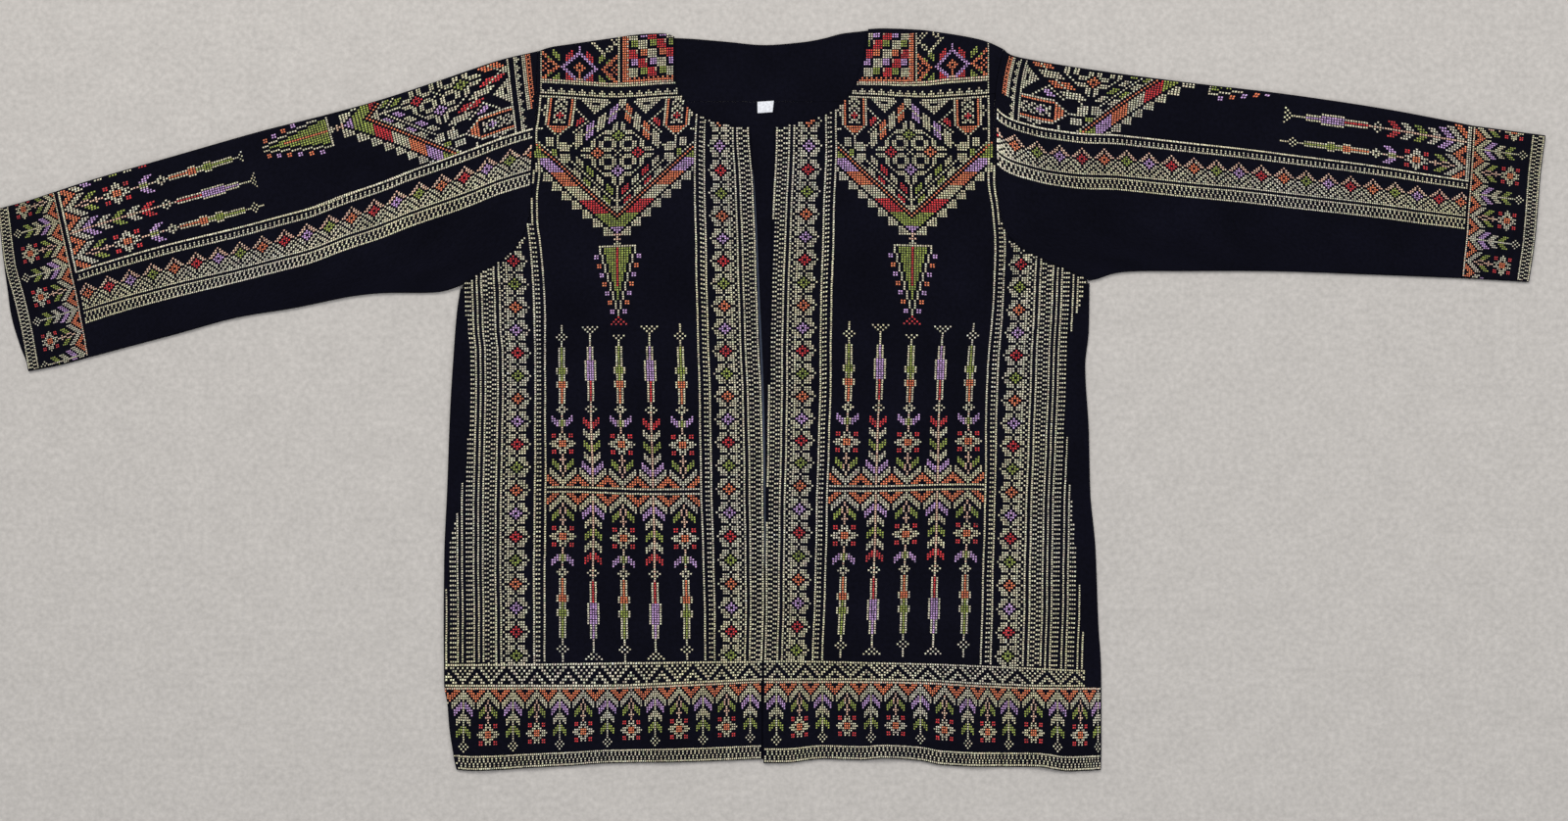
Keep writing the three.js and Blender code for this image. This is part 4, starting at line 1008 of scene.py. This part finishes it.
    # rosette: five flowers of eight half petals, which share the petals between them
    for dx, dy in ((0, 0), (0, 8), (-8, 0), (8, 0), (0, -8)):
        across, along = np.abs(c - 55 - dx), np.abs(r - 233 - dy)
        high, low = np.maximum(across, along), np.minimum(across, along)
        outward = np.maximum(x, np.abs(r - 233)) >= 14
        petal = (high >= 3) & (high <= 5) & (low >= 1) & (low <= 2)
        paint(chart, petal | (high == low) & (high <= 2) | (high == 6) & (low == 1) & outward, "b")
        chart[(low == 0) & (high >= 1) & (high <= 5)] = 0
    for dx, dy, letter in ((0, 8, "g"), (8, 0, "o"), (-8, 0, "r"), (0, -8, "l")):
        ring = np.abs(c - 55 - dx) + np.abs(r - 233 - dy)
        paint(chart, (ring >= 1) & (ring <= 2), letter)
        chart[ring == 0] = 0
    for k in (6, 7, 8, 9):
        put(chart, [55 - k, 55 + k], 248 - k, "b")
        put(chart, [55 - k, 55 + k], 218 + k, "b")

    # shields with orange bars, their sprigs and half diamonds, and the triangles under the shoulder
    level, sx = np.abs(r - 233), np.abs(x - 23)
    paint(chart, panel & (x >= 19) & (x <= 22) & (level >= 1) & (level <= 4) & (sx + level < 8), "b")
    paint(chart, panel & (x >= 25) & (x <= 27) & (r >= 236) & (r <= 239), "b")
    paint(chart, panel & (x >= 24) & (x <= 25) & (level <= 1), "g")
    shield = panel & (sx <= np.minimum(5, r - 240)) & (r >= 240) & (r < 257)
    chart[shield] = 0
    paint(chart, shield & (sx == np.minimum(5, r - 240)) | (sx == 0) & (r >= 235) & (r < 240), "b")
    paint(chart, shield & (sx == 4) & (r > 244) | shield & (r >= 242) & (r <= 244) & (sx <= r - 241), "o")
    paint(chart, shield & (sx <= 2) & (r > 245) & ((sx + r) % 3 > 0), "b")
    paint(chart, shield & (sx + np.abs(r - 249) <= 1), "r")
    for side in (-1, 1):
        leaf(chart, 55 + side * 15, 247, -side, "r")
        put(chart, 55 + side * np.arange(12, 18), 247 + np.arange(6), "b")
        put(chart, 55 + side * np.arange(12, 18), 247 - np.arange(6), "b")
    wedge = np.abs(x - 10)
    paint(chart, panel & (r >= 251) & (r < 257) & (wedge <= r - 251) & ~((wedge <= 1) & (r == 255)), "b")
    for side in (-1, 1):
        put(chart, 55 + side * np.array([29, 29, 30, 29, 29]), np.arange(249, 254), "b")
        put(chart, 55 + side * np.array([29, 30]), 243, "b")
    chart[257, 24:87] = letters["b"]
    chart[257, 50:61] = 0
    chart[255:258, 54:57] = letters["b"]
    return chart


# Zigzag above the hem: checked triangles hang from a line, small ones stand between them on another.
def zigzagChart():
    chart = np.zeros((8, 130), np.int8)
    r, c = np.mgrid[0:8, 0:130]
    near = np.abs((c - 5 + 6) % 12 - 6)
    hanging = (r >= 1) & (6 - near <= r - 1)
    paint(chart, hanging & ((6 - near == r - 1) | ((near + r) % 2 == 0)), "b")
    hole = (r == 1) & (near <= 1) | (r == 2) & (near == 0)
    paint(chart, (r >= 1) & (near <= 4 - r) & ~hole, "b")
    chart[[0, 7]] = letters["b"]
    return chart


# Strip for hem and cuffs: triangles under the seam line, flowers and leaf trees by turns, a dashed border.
def stripChart(columns, firstAxis, firstTree=True, rows=34):
    chart = np.zeros((rows, columns), np.int8)
    r, c = np.mgrid[0:rows, 0:columns]
    near = np.abs((c - firstAxis + 6) % 12 - 6)
    junction(chart, near, r)
    chart[0] = letters["b"]
    isTree = firstTree
    for column in range(firstAxis, columns + 12, 12):
        if isTree:
            leafTree(chart, column, 0, 1, 22, ((5, 4, "l"), (10, 3, "b"), (15, 3, "g")))
            motif(chart, column, 22, leafTreeTop[:5])
        else:
            motif(chart, column, 1, flowerTree[:23])
        isTree = not isTree
    chart[27:] = 0
    chart[[28, 33]] = letters["b"]
    paint(chart, (r >= 29) & (r <= 30) & (c % 2 == 0) | (r >= 31) & (r <= 32) & (c % 2 == 1), "b")
    paint(chart, (r == 0) & (c % 2 == 0), "p")
    return chart


# Yoke flap from its outer border to the neck, rows up from the front seam.
def yokeChart():
    rows, columns = 28, 63
    chart = np.zeros((rows, columns), np.int8)
    r, c = np.mgrid[0:rows, 0:columns]
    level = np.abs(r - 12)
    for depth in (c - 1, 30 - c):   # checked triangles that point inwards
        outline = depth + level
        within = (outline == 5) | (outline == 6) | (depth <= 2) & (level <= 2) & (outline % 2 == 0)
        paint(chart, (depth >= 0) & within, "o")
    ring = np.abs(c - 15) + level
    paint(chart, (ring == 6) | (ring == 7) | (c == 15) & (r > 18) & (r < 22), "l")
    paint(chart, (ring >= 1) & (ring <= 2) | (c == 15) & (r > 7) & (r < 10), "o")
    paint(chart, (np.abs(c - 15) <= 1) & (r < 8), "p")
    for side in (-1, 1):
        for up in (-1, 1):
            leaf(chart, 15 + side * 4, 12 + up * 5, -side * up, "r")
            leaf(chart, 15 + side * 9, 12 + up * 5, side * up, "g")
            put(chart, 15 + side * np.array([11, 12, 8]), 12 + up * np.array([3, 4, 3]), "g")
    corner = np.abs(np.abs(c - 25) + np.abs(r - 24) - 5) <= 1
    paint(chart, corner & (c < 31) & (r > 17) & ((c + r) % 3 > 0), "b")
    paint(chart, c == 31, "b")
    paint(chart, (c == 33) | (c == 34) | (c == 35) & (r % 2 == 1), "o")
    paint(chart, (c == 35) & (r % 2 == 0), "p")

    blocks = ("bgrgb", "lrlbl", "robor", "gbgrg", "blrlb")   # stepped blocks, lowest line first
    for j, line in enumerate(blocks):
        for i, letter in enumerate(line):
            across, along = c - 36 - 4 * i, r - 9 - 4 * j
            edge = (i + j + 1) % 2
            within = (across >= 1 - edge) & (across <= 3) & (along >= 1 - edge) & (along <= 3)
            paint(chart, within, letter)
            paint(chart, within & (across == 3) & (along >= 2) & (letter == "r"), "p")
    paint(chart, (c >= 36) & ((r == 7) | (r == 8) & (c % 2 == 0)), "o")
    chart[:7] = 0
    tri = np.abs((c + 2) % 4 - 2)
    paint(chart, (r == 0) | (r == 1) & (tri <= 1) | (r == 2) & (tri == 0) | (r == 5), "b")
    paint(chart, (r == 6) & (c % 2 == 0), "p")
    paint(chart, (r == 6) & (c % 2 == 1), "b")
    chart[:, 0] = letters["b"]
    return chart


# Sleeve panel: the front's panel from its middle lines up, then the lines and the bar at the armhole.
def sleeveChart(front, label):
    chart = np.zeros((186, 87), np.int8)
    chart[:172] = front[86:258, :87]
    r, c = np.mgrid[0:186, 0:87]
    arch = (r > 150) & (c > 56)
    lilac, red = chart == letters["l"], chart == letters["r"]
    paint(chart, arch & lilac, "r" if label == "Left" else "o")
    paint(chart, arch & red, "l")
    if label == "Left":
        paint(chart, (np.abs(r - 147) <= 2) & (c > 60) & (c < 66) & (chart == letters["o"]), "l")
        paint(chart, (np.abs(r - 139) <= 2) & (np.abs(c - 55) <= 2) & lilac, "r")
        leafy = (r > 124) & (r < 146) & (np.abs(c - 55) < 19)
        paint(chart, leafy & (c > 56) & (chart == letters["g"]), "l")
        paint(chart, leafy & (c < 54) & red & ~((np.abs(r - 147) <= 2) & (c < 50)), "g")
    else:
        chart[9:72, :62] = 0   # this tree lies behind the fold
    paint(chart, (c == 55) & (r > 88) & (r < 106), "o")
    chart[72:80, 45:66] = 0
    chart[0] = letters["b"]
    chart[:, :25] = 0
    chart[:, 86] = letters["b"]
    tri = np.abs((c + 2) % 4 - 2)
    head = np.zeros_like(chart)
    paint(head, (r == 171) | (r == 174), "b")
    paint(head, (r >= 175) & (r <= 176) & (tri <= 176 - r), "b")
    paint(head, (r == 178) | (r == 179), "b")
    paint(head, (r >= 180) & (r <= 182) & ~((r == 181) & (c % 2 == 0)), "o")
    head[(c > 76) & (r >= 178)] = 0
    head[c == 86] = letters["b"]
    return np.where(r >= 171, head, chart)


# Sleeve bands below the panel: ladder, diamond chain with a salmon upper edge, line and checks.
def bandChart(rows):
    chart = np.zeros((rows, 27), np.int8)
    r, c = np.mgrid[0:rows, 0:27]
    chain(chart, c, r, 12, 4, "orlg", 1, upper="p", rounded=False)
    ring = np.abs(c - 12) + np.abs((r + 1) % 10 - 5)
    paint(chart, (c > 12) & (c < 19) & (ring > 6) & (ring != 9), "b")
    chart[(c < 7) | (c > 18)] = 0
    for column in (0, 4, 19, 21, 26):
        chart[:, column] = letters["b"]
    even = r % 2 == 0
    for low, match in ((2, even), (22, even), (24, ~even)):
        paint(chart, (c >= low) & (c <= low + 1) & match, "b")
    return chart


# ---- stitches

stitch = dict(span=0.91, width=0.27, lowRise=0.38, highRise=0.55, sunk=0.12, tone=0.2, seed=41)


# Cross-stitches: two closed legs a cell, corner to corner, the second riding over the first. cell(c, r) gives
# plan x, y in mm and surface z; a leg is two sunk ends, two sides and a raised middle.
def stitchPiece(name, chart, cell, keep=None, rows=None):
    row, column = np.nonzero(chart)
    if rows is not None:
        chosen = (row >= rows[0]) & (row < rows[1])
        row, column = row[chosen], column[chosen]
    centre = cell(column.astype(float), row.astype(float))
    inside = np.isfinite(centre).all(axis=-1)
    if keep is not None:
        inside &= keep(centre[:, 0], centre[:, 1])
    row, column = row[inside], column[inside]
    draw = np.random.default_rng(stitch["seed"] + len(row))
    half = stitch["span"] / 2
    wobble = draw.normal(0, 0.035, (2, len(row)))
    corners = [cell(column + dx * half + wobble[0], row + dy * half + wobble[1])
               for dx, dy in ((-1, -1), (1, 1), (1, -1), (-1, 1))]
    up = np.array([0, 0, 1.0])
    points, faces = [], []
    legFaces = np.array([(0, 3, 4), (3, 1, 4), (1, 2, 4), (2, 0, 4), (0, 2, 3), (2, 1, 3)])
    for k, rise in ((0, stitch["lowRise"]), (2, stitch["highRise"])):
        a, b = corners[k], corners[k + 1]
        run = b - a
        middle = (a + b) / 2
        aside = np.stack([-run[:, 1], run[:, 0], np.zeros(len(run))], -1)
        aside *= stitch["width"]
        ends = stitch["sunk"] * up
        lift = (rise * draw.normal(1, 0.1, len(run)))[:, None] * up
        sides = (middle + aside - ends / 2, middle - aside - ends / 2)
        leg = np.stack([a - ends, b - ends, *sides, middle + lift], 1)
        points.append(leg)
        faces.append(legFaces[None] + (5 * np.arange(len(run)))[:, None, None] + (5 * len(run) if k else 0))
    points = np.concatenate(points).reshape(-1, 3)
    faces = np.concatenate(faces).reshape(-1, 3)
    piece = newMesh(name, points, faces, stitchMaterial, sharp=None)
    palette = np.array([(0, 0, 0)] + list(threads.values()))
    colour = palette[chart[row, column]]
    tone = draw.normal(1, stitch["tone"], (len(row), 1)) + draw.normal(0, 0.03, (len(row), 3))
    lot = np.sin(column / 17 + 0.7 * np.sin(row / 29)) * np.sin(row / 23 + 1.3)
    drift = np.stack([1 + 0.03 * lot, 1 + 0.02 * lot, 1 - 0.10 * lot], -1)
    isBeige = (chart[row, column] == letters["b"])[:, None]
    colour = np.clip(colour * tone * np.where(isBeige, drift, 1), 0, 1)
    rgba = np.concatenate([colour, np.ones((len(row), 1))], axis=1)
    rgba = np.concatenate([np.repeat(rgba, 5, axis=0)] * 2)
    layer = piece.data.attributes.new("threadColour", "FLOAT_COLOR", "POINT")
    layer.data.foreach_set("color", rgba.astype(np.float32).ravel())
    print(name, len(row), "stitches,", len(faces), "triangles")
    return piece


def fromPixels(x, y):
    return (x - plan["pixelOrigin"][0]) * plan["pixel"], (plan["pixelOrigin"][1] - y) * plan["pixel"]


# Grid lines of a front: key columns with their x by height, straight between keys, rows by a height table.
leftKeys = {
    0: [(97, 763.5), (131, 763.6), (190, 767.6), (250, 769.6), (300, 771.6), (350, 773.6), (400, 775.6),
        (480, 777.6), (560, 778.6), (640, 777.6), (710, 775.6)],
    24: [(97, 712.4), (179, 708.7), (279, 711), (403, 713.6), (551, 717.1), (600, 718.4), (710, 721)],
    55: [(97, 636), (105, 635), (115, 633.5), (125, 632), (140, 631), (150, 630.3), (230, 630), (346, 631),
         (415, 633), (487, 635.3), (560, 636), (710, 639)],
    86: [(97, 551.4), (110, 550.4), (124, 549), (136, 547.2), (150, 547.8), (165, 549.8), (177, 550.4),
         (200, 548.3), (225, 548.4), (250, 551.3), (279, 554), (328, 556), (400, 556.5), (560, 556.2),
         (710, 555.2)],
    97: [(200, 519), (266, 523.6), (290, 525), (314, 525.6), (337, 526.6), (360, 529), (408, 528.6),
         (480, 526.8), (560, 526.4), (710, 527.1)],
}
rightKeys = {
    0: [(97, 794.6), (151, 792.8), (196, 790.4), (219, 789.2), (242, 787.9), (265, 787.2), (311, 786.2),
        (400, 784.6), (500, 783.4), (580, 782.4), (650, 781.4), (710, 780.4)],
    24: [(97, 853), (151, 853.3), (172, 852.3), (219, 850.5), (265, 849.8), (311, 848.4), (400, 847),
         (492, 844.7), (600, 841.4), (671, 839.2), (710, 838.5)],
    55: [(97, 925.6), (216, 930.5), (252, 931.4), (400, 928.5), (492, 925.5), (581, 922.9), (710, 921)],
    86: [(97, 1008), (145, 1009), (181, 1008.6), (216, 1013.6), (252, 1015.4), (288, 1014.5), (400, 1007),
         (492, 1005.4), (600, 1003.2), (710, 999)],
    97: [(200, 1041), (250, 1042), (290, 1040.4), (400, 1036), (492, 1032.2), (600, 1030), (710, 1027)],
}
bandReach = {110: 33.5, 129: 78.5}   # outer bands: distance of two more columns from column 97
leftRows = [(0, 708.9), (86, 501), (172, 298.6), (258, 96.6)]
rightRows = [(0, 703.5), (86, 498), (172, 297.4), (258, 96.6)]
zigzagTop = through([fromPixels(x, y) for x, y in (
    (455, 679), (540, 678.5), (640, 677.1), (770, 675.5), (795, 675.1), (880, 676.6), (961, 678.6),
    (1000, 680.2), (1053, 682.5), (1105, 684.8), (1130, 685.6))])


# x of any column at any height, straight between the key columns, with a slow waver.
def columnLines(keys, outward):
    curves = {k: through(rows) for k, rows in keys.items()}
    for k, reach in bandReach.items():
        curves[k] = lambda y, reach=reach: curves[97](y) + outward * reach
    columns = np.array(sorted(curves))

    def across(c, y):
        lines = np.stack([curves[k](y) for k in columns])
        i = np.clip(np.searchsorted(columns, c, side="right") - 1, 0, len(columns) - 2)
        pick = np.arange(len(c))
        share = (c - columns[i]) / (columns[i + 1] - columns[i])
        ripple = (0.3 * np.sin(y / 31 + c / 19), 0.15 * np.sin(y / 12))
        return mix(lines[i, pick], lines[i + 1, pick], share) + ripple[0] + ripple[1]

    return across


# Rows follow a height table with slow bends, and towards the yoke they follow its seam.
def frontCell(across, rows, height, bend, seamY):
    rowY = through(rows)
    topRow = fromPixels(0, rowY(np.array([257.0])))[1][0]

    def cell(c, r):
        atSeam = smooth(r, 225, 257)
        y = rowY(r) + bend(c, r) * (1 - atSeam)
        px, py = fromPixels(across(c, y), y)
        py = py + atSeam * (seamY(px) - 2.2 - topRow)
        return np.stack([px, py, height(px, py)], -1)

    return cell


def zigzagCell(across, height):
    def cell(c, r):
        px, _ = fromPixels(across(c, np.full(len(c), 690.0)), 0)
        py = mix(hemSeamY(px) + 1.5, zigzagTop(px), r / 7)
        return np.stack([px, py, height(px, py)], -1)
    return cell


def insideFront(edges, lowest):
    def keep(x, y):
        side = edges["side"]
        outer, inner = edges["outer"](y), edges["inner"](y)
        beyond = np.where(y < edges["underarm"] - 8, -2.0, 0.1)   # the lowest bands run on over the side seam
        return ((side * (outer - x) > beyond) & (side * (x - inner) > 0.6) & (y > lowest(x))
                & (y < edges["yokeSeam"](x) - seamGap - 0.6))
    return keep


threadPieces = {}


def dressed(node, *pieces):
    threadPieces.setdefault(node, []).extend(pieces)


# slow bends of the rows, in pixels, as the cloth lies
def leftBend(c, r):
    edge = 5 * smooth(26 - c, 0, 10) * smooth(r, 90, 225)
    return edge + 1.2 * np.sin(c / 21 + 0.5) * np.sin(r / 40) + 0.5 * np.sin(c / 9 + r / 33)


def rightBend(c, r):
    edge = smooth(26 - c, 0, 10) * (3.2 * smooth(r, 90, 130) + 2.0 * smooth(r, 215, 240))
    return edge + 1.0 * np.sin(c / 23 + 1) * np.sin(r / 37) + 0.5 * np.sin(c / 10 - r / 31)


fronts = dict(
    Left=dict(node="front_left", edges=left, keys=leftKeys, outward=-1, rows=leftRows, height=leftHeight,
              bend=leftBend, outerPhase=6),
    Right=dict(node="front_right", edges=right, keys=rightKeys, outward=1, rows=rightRows, height=rightHeight,
               bend=rightBend, outerPhase=4),
)
for label, spec in fronts.items():
    edges = spec["edges"]
    across = columnLines(spec["keys"], spec["outward"])
    spec["chart"] = frontChart(spec["outerPhase"])
    cell = frontCell(across, spec["rows"], spec["height"], spec["bend"], edges["yokeSeam"])
    keep = insideFront(edges, lambda x: zigzagTop(x) + 1.4)
    low = insideFront(edges, lambda x: hemSeamY(x) + seamGap + 0.7)
    dressed(spec["node"],
            *(stitchPiece(f"threadFront{label}{part}", spec["chart"], cell, keep, rows)
              for part, rows in (("Lower", (0, 110)), ("Upper", (110, 259)))),
            stitchPiece(f"threadZigzag{label}", zigzagChart(), zigzagCell(across, spec["height"]), low))

yoke = yokeChart()


def yokeCell(edges, keys, tilt):   # tilt: how far the rows above the border rise, in mm at each x in pixels
    columnX, rise = through(keys), through(tilt)

    def cell(c, r):
        x, y = fromPixels(columnX(c), 0 * c)
        y = edges["yokeSeam"](x) + 1.1 + r * 2.05 - 0.9 * smooth(r, 2, 5) + rise(columnX(c)) * smooth(r, 0, 8)
        depth = edges["shoulder"](x) - y
        return np.stack([x, y, rolled(np.maximum(depth, 0.3), foldedHeight)], -1)
    return cell


def insideYoke(edges):
    def keep(x, y):
        side = edges["side"]
        neck, arm = edges["neckline"](y), edges["armhole"](y)
        return (side * (x - neck) > 1.2) & (side * (arm - x) > 1.0) & (edges["shoulder"](x) - y > 0.6)
    return keep


leftYoke = yokeCell(left, [(0, 551.5), (15, 591.5), (31, 631.6), (36, 642.9), (56, 690.8)],
                    [(540, 0.0), (700, 0.0)])
rightYoke = yokeCell(right, [(0, 1009), (15, 971.7), (31, 935), (36, 926.5), (56, 880), (62, 866)],
                     [(866, -2.5), (920, 0.0), (972, 3.2), (1012, 3.2)])
dressed("yoke", stitchPiece("threadYokeLeft", yoke, leftYoke, insideYoke(left)),
        stitchPiece("threadYokeRight", yoke, rightYoke, insideYoke(right)))

# hem band: key axes with their x, rows shared out between the seam and the lower edge
hemLeftAxes = [(-2, 450), (8, 472.9), (20, 498), (32, 523.5), (44, 547.8), (56, 571.1), (68, 595.2),
               (80, 619.8), (104, 668.5), (128, 717.3), (152, 765.5), (159, 779.6)]
hemRightAxes = [(0, 778.6), (6, 792.3), (18, 815.7), (30, 839.2), (42, 864.4), (54, 888.7), (66, 913.9),
                (78, 939.2), (90, 963.7), (102, 987.6), (114, 1007.7), (126, 1029.3), (138, 1054.6),
                (150, 1079.1), (162, 1102.5), (174, 1120.4), (180, 1130)]


def hemCell(axes):
    axisX = through(axes)

    def cell(c, r):
        share = (r + 0.55) / 34.4
        x, _ = fromPixels(axisX(c), 0)
        y = hemY(x, share)
        level = mix(hemJoin, hemFoot, share)
        depth = np.minimum(x - hemLeftX(level), hemRightX(level) - x)
        z = hemHeight(x, y, share) - foldedHeight + rolled(np.maximum(depth, 0.3), foldedHeight)
        return np.stack([x, y, z], -1)
    return cell


def insideHem(low, high):
    def keep(x, y):
        share = (y - hemJoin) / (hemFoot - hemJoin)
        level = mix(hemJoin, hemFoot, share)
        return (x > np.maximum(low, hemLeftX(level) + 0.6)) & (x < np.minimum(high, hemRightX(level) - 0.6))
    return keep


dressed("hem_band",
        stitchPiece("threadHemLeft", stripChart(162, 8), hemCell(hemLeftAxes), insideHem(-400, -10.6)),
        stitchPiece("threadHemRight", stripChart(182, 6), hemCell(hemRightAxes), insideHem(-7.8, 400)))

# sleeves: rows run along the arm from the cuff seam, columns lie at a depth below the top fold
sleeveStitch = dict(
    left=dict(along=[(0, 1), (68, 198), (76, 211), (106, 289), (112, 306), (119, 329), (147, 404),
                     (171, 479.5), (182, 503)],
              leanReach=100, length=508, start=1.75, step=2.475, columnStep=2.02,
              lean=[(0, 0), (68, 0.18), (106, 0.24), (140, 0.24), (171, 0.15), (182, 0.15)],
              bow=[(0, 0), (505, 0)],
              axis=[(0, 21.3), (208, 18.6), (287, 15.9), (400, 12.2), (505, 10)],
              line=[(0, 85.5), (105, 83), (200, 85.2), (254, 84.5), (308, 79.5), (340, 78.4), (375, 76.3),
                    (428, 76.5), (505, 73)]),
    right=dict(along=[(0, 1), (70, 188), (106, 269.5), (112, 290), (119, 312.5), (148, 389), (171, 457.5),
                      (182, 476)],
               lean=[(0, 0), (73, 0), (76, 0.8), (81, 0.75), (89, 0.55), (97, 0.23), (104, 0), (182, 0)],
               leanReach=0, length=484, start=-2.1, step=2.272, columnStep=1.87,
               bow=[(0, 4.5), (190, 3.5), (300, 1.5), (384, 0)], axis=[(0, -13), (384, -4.8), (484, -3)],
               line=[(0, 57.2), (35, 57.3), (100, 56.6), (170, 56.3), (257, 55), (305, 55), (352, 55.4),
                     (400, 59), (426, 59.3), (460, 57), (484, 51.5)]),
)


def sleeveCell(arm, folds, spec, alongOf, depthOf, leanOf=np.zeros_like):   # leanOf: shift by depth
    def cell(c, r):
        along = alongOf(r)
        level = depthOf(c, along)
        along = along + leanOf(r) * np.minimum(level - 21, spec["leanReach"])
        s = 1 - along / spec["length"]
        depth = level * plan["pixel"]
        width = np.linalg.norm(arm(s, 0.0) - arm(s, 1.0), axis=-1)
        t = depth / width
        point = arm(s, np.clip(t, 0, 1))
        lift = tubeHeight(folds, width, point[..., 0], point[..., 1], t)
        z = rolled(np.maximum(depth, 0.3), sleeveHeight) + lift
        out = np.concatenate([point, z[..., None]], -1)
        out[(depth < 0.5) | (s < 0.004) | (s > 0.998)] = np.nan
        return out
    return cell


def sleeveStitches(label, arm, folds):
    spec = sleeveStitch[label.lower()]
    alongOf, axisOf, lineOf, bowOf = (through(spec[key]) for key in ("along", "axis", "line", "bow"))

    def panelDepth(c, along):
        share = (c - 55) / 31
        return mix(axisOf(along), lineOf(along), share) + bowOf(along) * np.sin(math.pi * share)

    panel = sleeveCell(arm, folds, spec, alongOf, panelDepth, through(spec["lean"]))
    bands = sleeveCell(arm, folds, spec, lambda r: spec["start"] + spec["step"] * r,
                       lambda c, along: lineOf(along) + spec["columnStep"] * c)
    rows = int((spec["length"] - spec["start"]) / spec["step"])
    chart = sleeveChart(fronts[label]["chart"], label)
    dressed("sleeve_" + label.lower(), stitchPiece("threadSleeve" + label, chart, panel),
            stitchPiece("threadBands" + label, bandChart(rows), bands))


sleeveStitches("Left", armLeft, leftSleeveFolds + leftSleeveCreases)
sleeveStitches("Right", armRight, rightSleeveFolds + rightSleeveCreases)


def cuffCell(place, folds, firstDepth):
    def cell(c, r):
        s = (r + 0.6) / 34.4
        width = np.linalg.norm(place(s, 0.0) - place(s, 1.0), axis=-1)
        depth = (firstDepth + 1.91 * (c - 12)) * plan["pixel"]
        t = depth / width
        point = place(s, np.clip(t, 0, 1))
        edge = np.minimum(depth, width - depth)
        lift = tubeHeight(folds, width, point[..., 0], point[..., 1], t)
        z = rolled(np.maximum(edge, 0.3), sleeveHeight) + lift
        out = np.concatenate([point, z[..., None]], -1)
        out[edge < 0.5] = np.nan
        return out
    return cell


for node, name, place, folds, firstDepth in (
        ("cuff_left", "threadCuffLeft", cuffLeft, leftSleeveFolds, 7.5),
        ("cuff_right", "threadCuffRight", cuffRight, rightSleeveFolds, 0.5)):
    dressed(node, stitchPiece(name, stripChart(108, 12, False), cuffCell(place, folds, firstDepth)))
print("stitches ready")


# ---- hiding the CAD parts and printing each cloth's area

def flatArea(piece):   # half the surface of a closed wall, in square metres
    mesh = piece.data
    areas = np.empty(len(mesh.polygons))
    mesh.polygons.foreach_get("area", areas)
    return float(areas.sum()) / 2


clothPieces = [
    (frontLeft, "front_left", (0.280, 0.530), ["back", "facing_left"]),
    (frontRight, "front_right", (0.288, 0.530), ["back"]),
    (backCloth, "back", (0.610, 0.525), []),
    (yokeCloth, "yoke", (0.420, 0.122), []),
    (hemCloth, "hem_band", (1.160, 0.080), []),
    (sleeveLeftCloth, "sleeve_left", (0.440, 0.430), []),
    (cuffLeftCloth, "cuff_left", (0.305, 0.062), []),
    (sleeveRightCloth, "sleeve_right", (0.430, 0.410), []),
    (cuffRightCloth, "cuff_right", (0.285, 0.066), []),
    (facingCloth, "facing_left", (0.355, 0.013), ["back"]),
]
for piece, node, size, under in clothPieces:
    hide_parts(node)
    area = flatArea(piece)
    print(node, "cloth area %.4f m2, flat %.4f m2" % (area, size[0] * size[1]))
    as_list(under)
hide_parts("neck_label")


# ---- surface, light and camera

studio = dict(floorSize=6.0, floorColour=(0.435, 0.41, 0.382), world=0.55,
              lensHeight=1.933, lensCentre=(0.0109, -0.0096))


def studioFloor():
    half = studio["floorSize"] / 2
    mesh = bpy.data.meshes.new("studioFloor")
    corners = [(x * half, y * half, 0) for x, y in ((-1, -1), (1, -1), (1, 1), (-1, 1))]
    mesh.from_pydata(corners, [], [(0, 1, 2, 3)])
    material, tree, shader = newMaterial("paleBoard", 0.95)
    where = nodeIn(tree, "ShaderNodeTexCoord", (-1000, 0)).outputs["Object"]
    broad = groupNode(tree, slowTone, (-760, 150), Vector=where, Scale=34.0, Low=0.96, High=1.035)
    fine = groupNode(tree, slowTone, (-760, -100), Vector=where, Scale=210.0, Low=0.88, High=1.10)
    both = mathNode(tree, "MULTIPLY", broad.outputs[0], fine.outputs[0])
    feed(tree, shader.inputs["Base Color"], scaled(tree, studio["floorColour"], both, (-300, 100)))
    mesh.materials.append(material)
    floor = bpy.data.objects.new("studioFloor", mesh)
    bpy.context.scene.collection.objects.link(floor)


def softLight(name, place, size, power, colour=(1, 1, 1)):   # area light aimed at the middle of the jacket
    light = bpy.data.lights.new(name, "AREA")
    light.shape, light.size, light.size_y = "RECTANGLE", size[0], size[1]
    light.energy, light.color = power, colour
    lamp = bpy.data.objects.new(name, light)
    lamp.location = place
    away = np.array(place, float)
    tip = math.atan2(math.hypot(away[0], away[1]), away[2])
    lamp.rotation_euler = (tip, 0, math.atan2(away[0], -away[1]))
    bpy.context.scene.collection.objects.link(lamp)


studioFloor()
softLight("keyLight", (-0.7, 1.9, 2.3), (1.8, 1.2), 62, (1, 0.985, 0.96))
softLight("sideLight", (2.2, 0.9, 2.2), (1.2, 1.2), 24)
softLight("fillLight", (0.0, -2.0, 2.2), (2.0, 1.2), 18, (0.96, 0.98, 1))

world = bpy.data.worlds.new("studioWorld")
world.use_nodes = True
world.node_tree.nodes["Background"].inputs["Color"].default_value = (0.93, 0.95, 1, 1)
world.node_tree.nodes["Background"].inputs["Strength"].default_value = studio["world"]
bpy.context.scene.world = world
bpy.context.scene.view_settings.view_transform = "Standard"

lens = bpy.data.cameras.new("photoLens")
lens.lens, lens.sensor_width, lens.sensor_fit = 50, 36, "HORIZONTAL"
lens.clip_end = 20
cameraRig = bpy.data.objects.new("photoCamera", lens)
cameraRig.location = (*studio["lensCentre"], studio["lensHeight"] + 0.003)
bpy.context.scene.collection.objects.link(cameraRig)
bpy.context.scene.camera = cameraRig
print("studio ready")
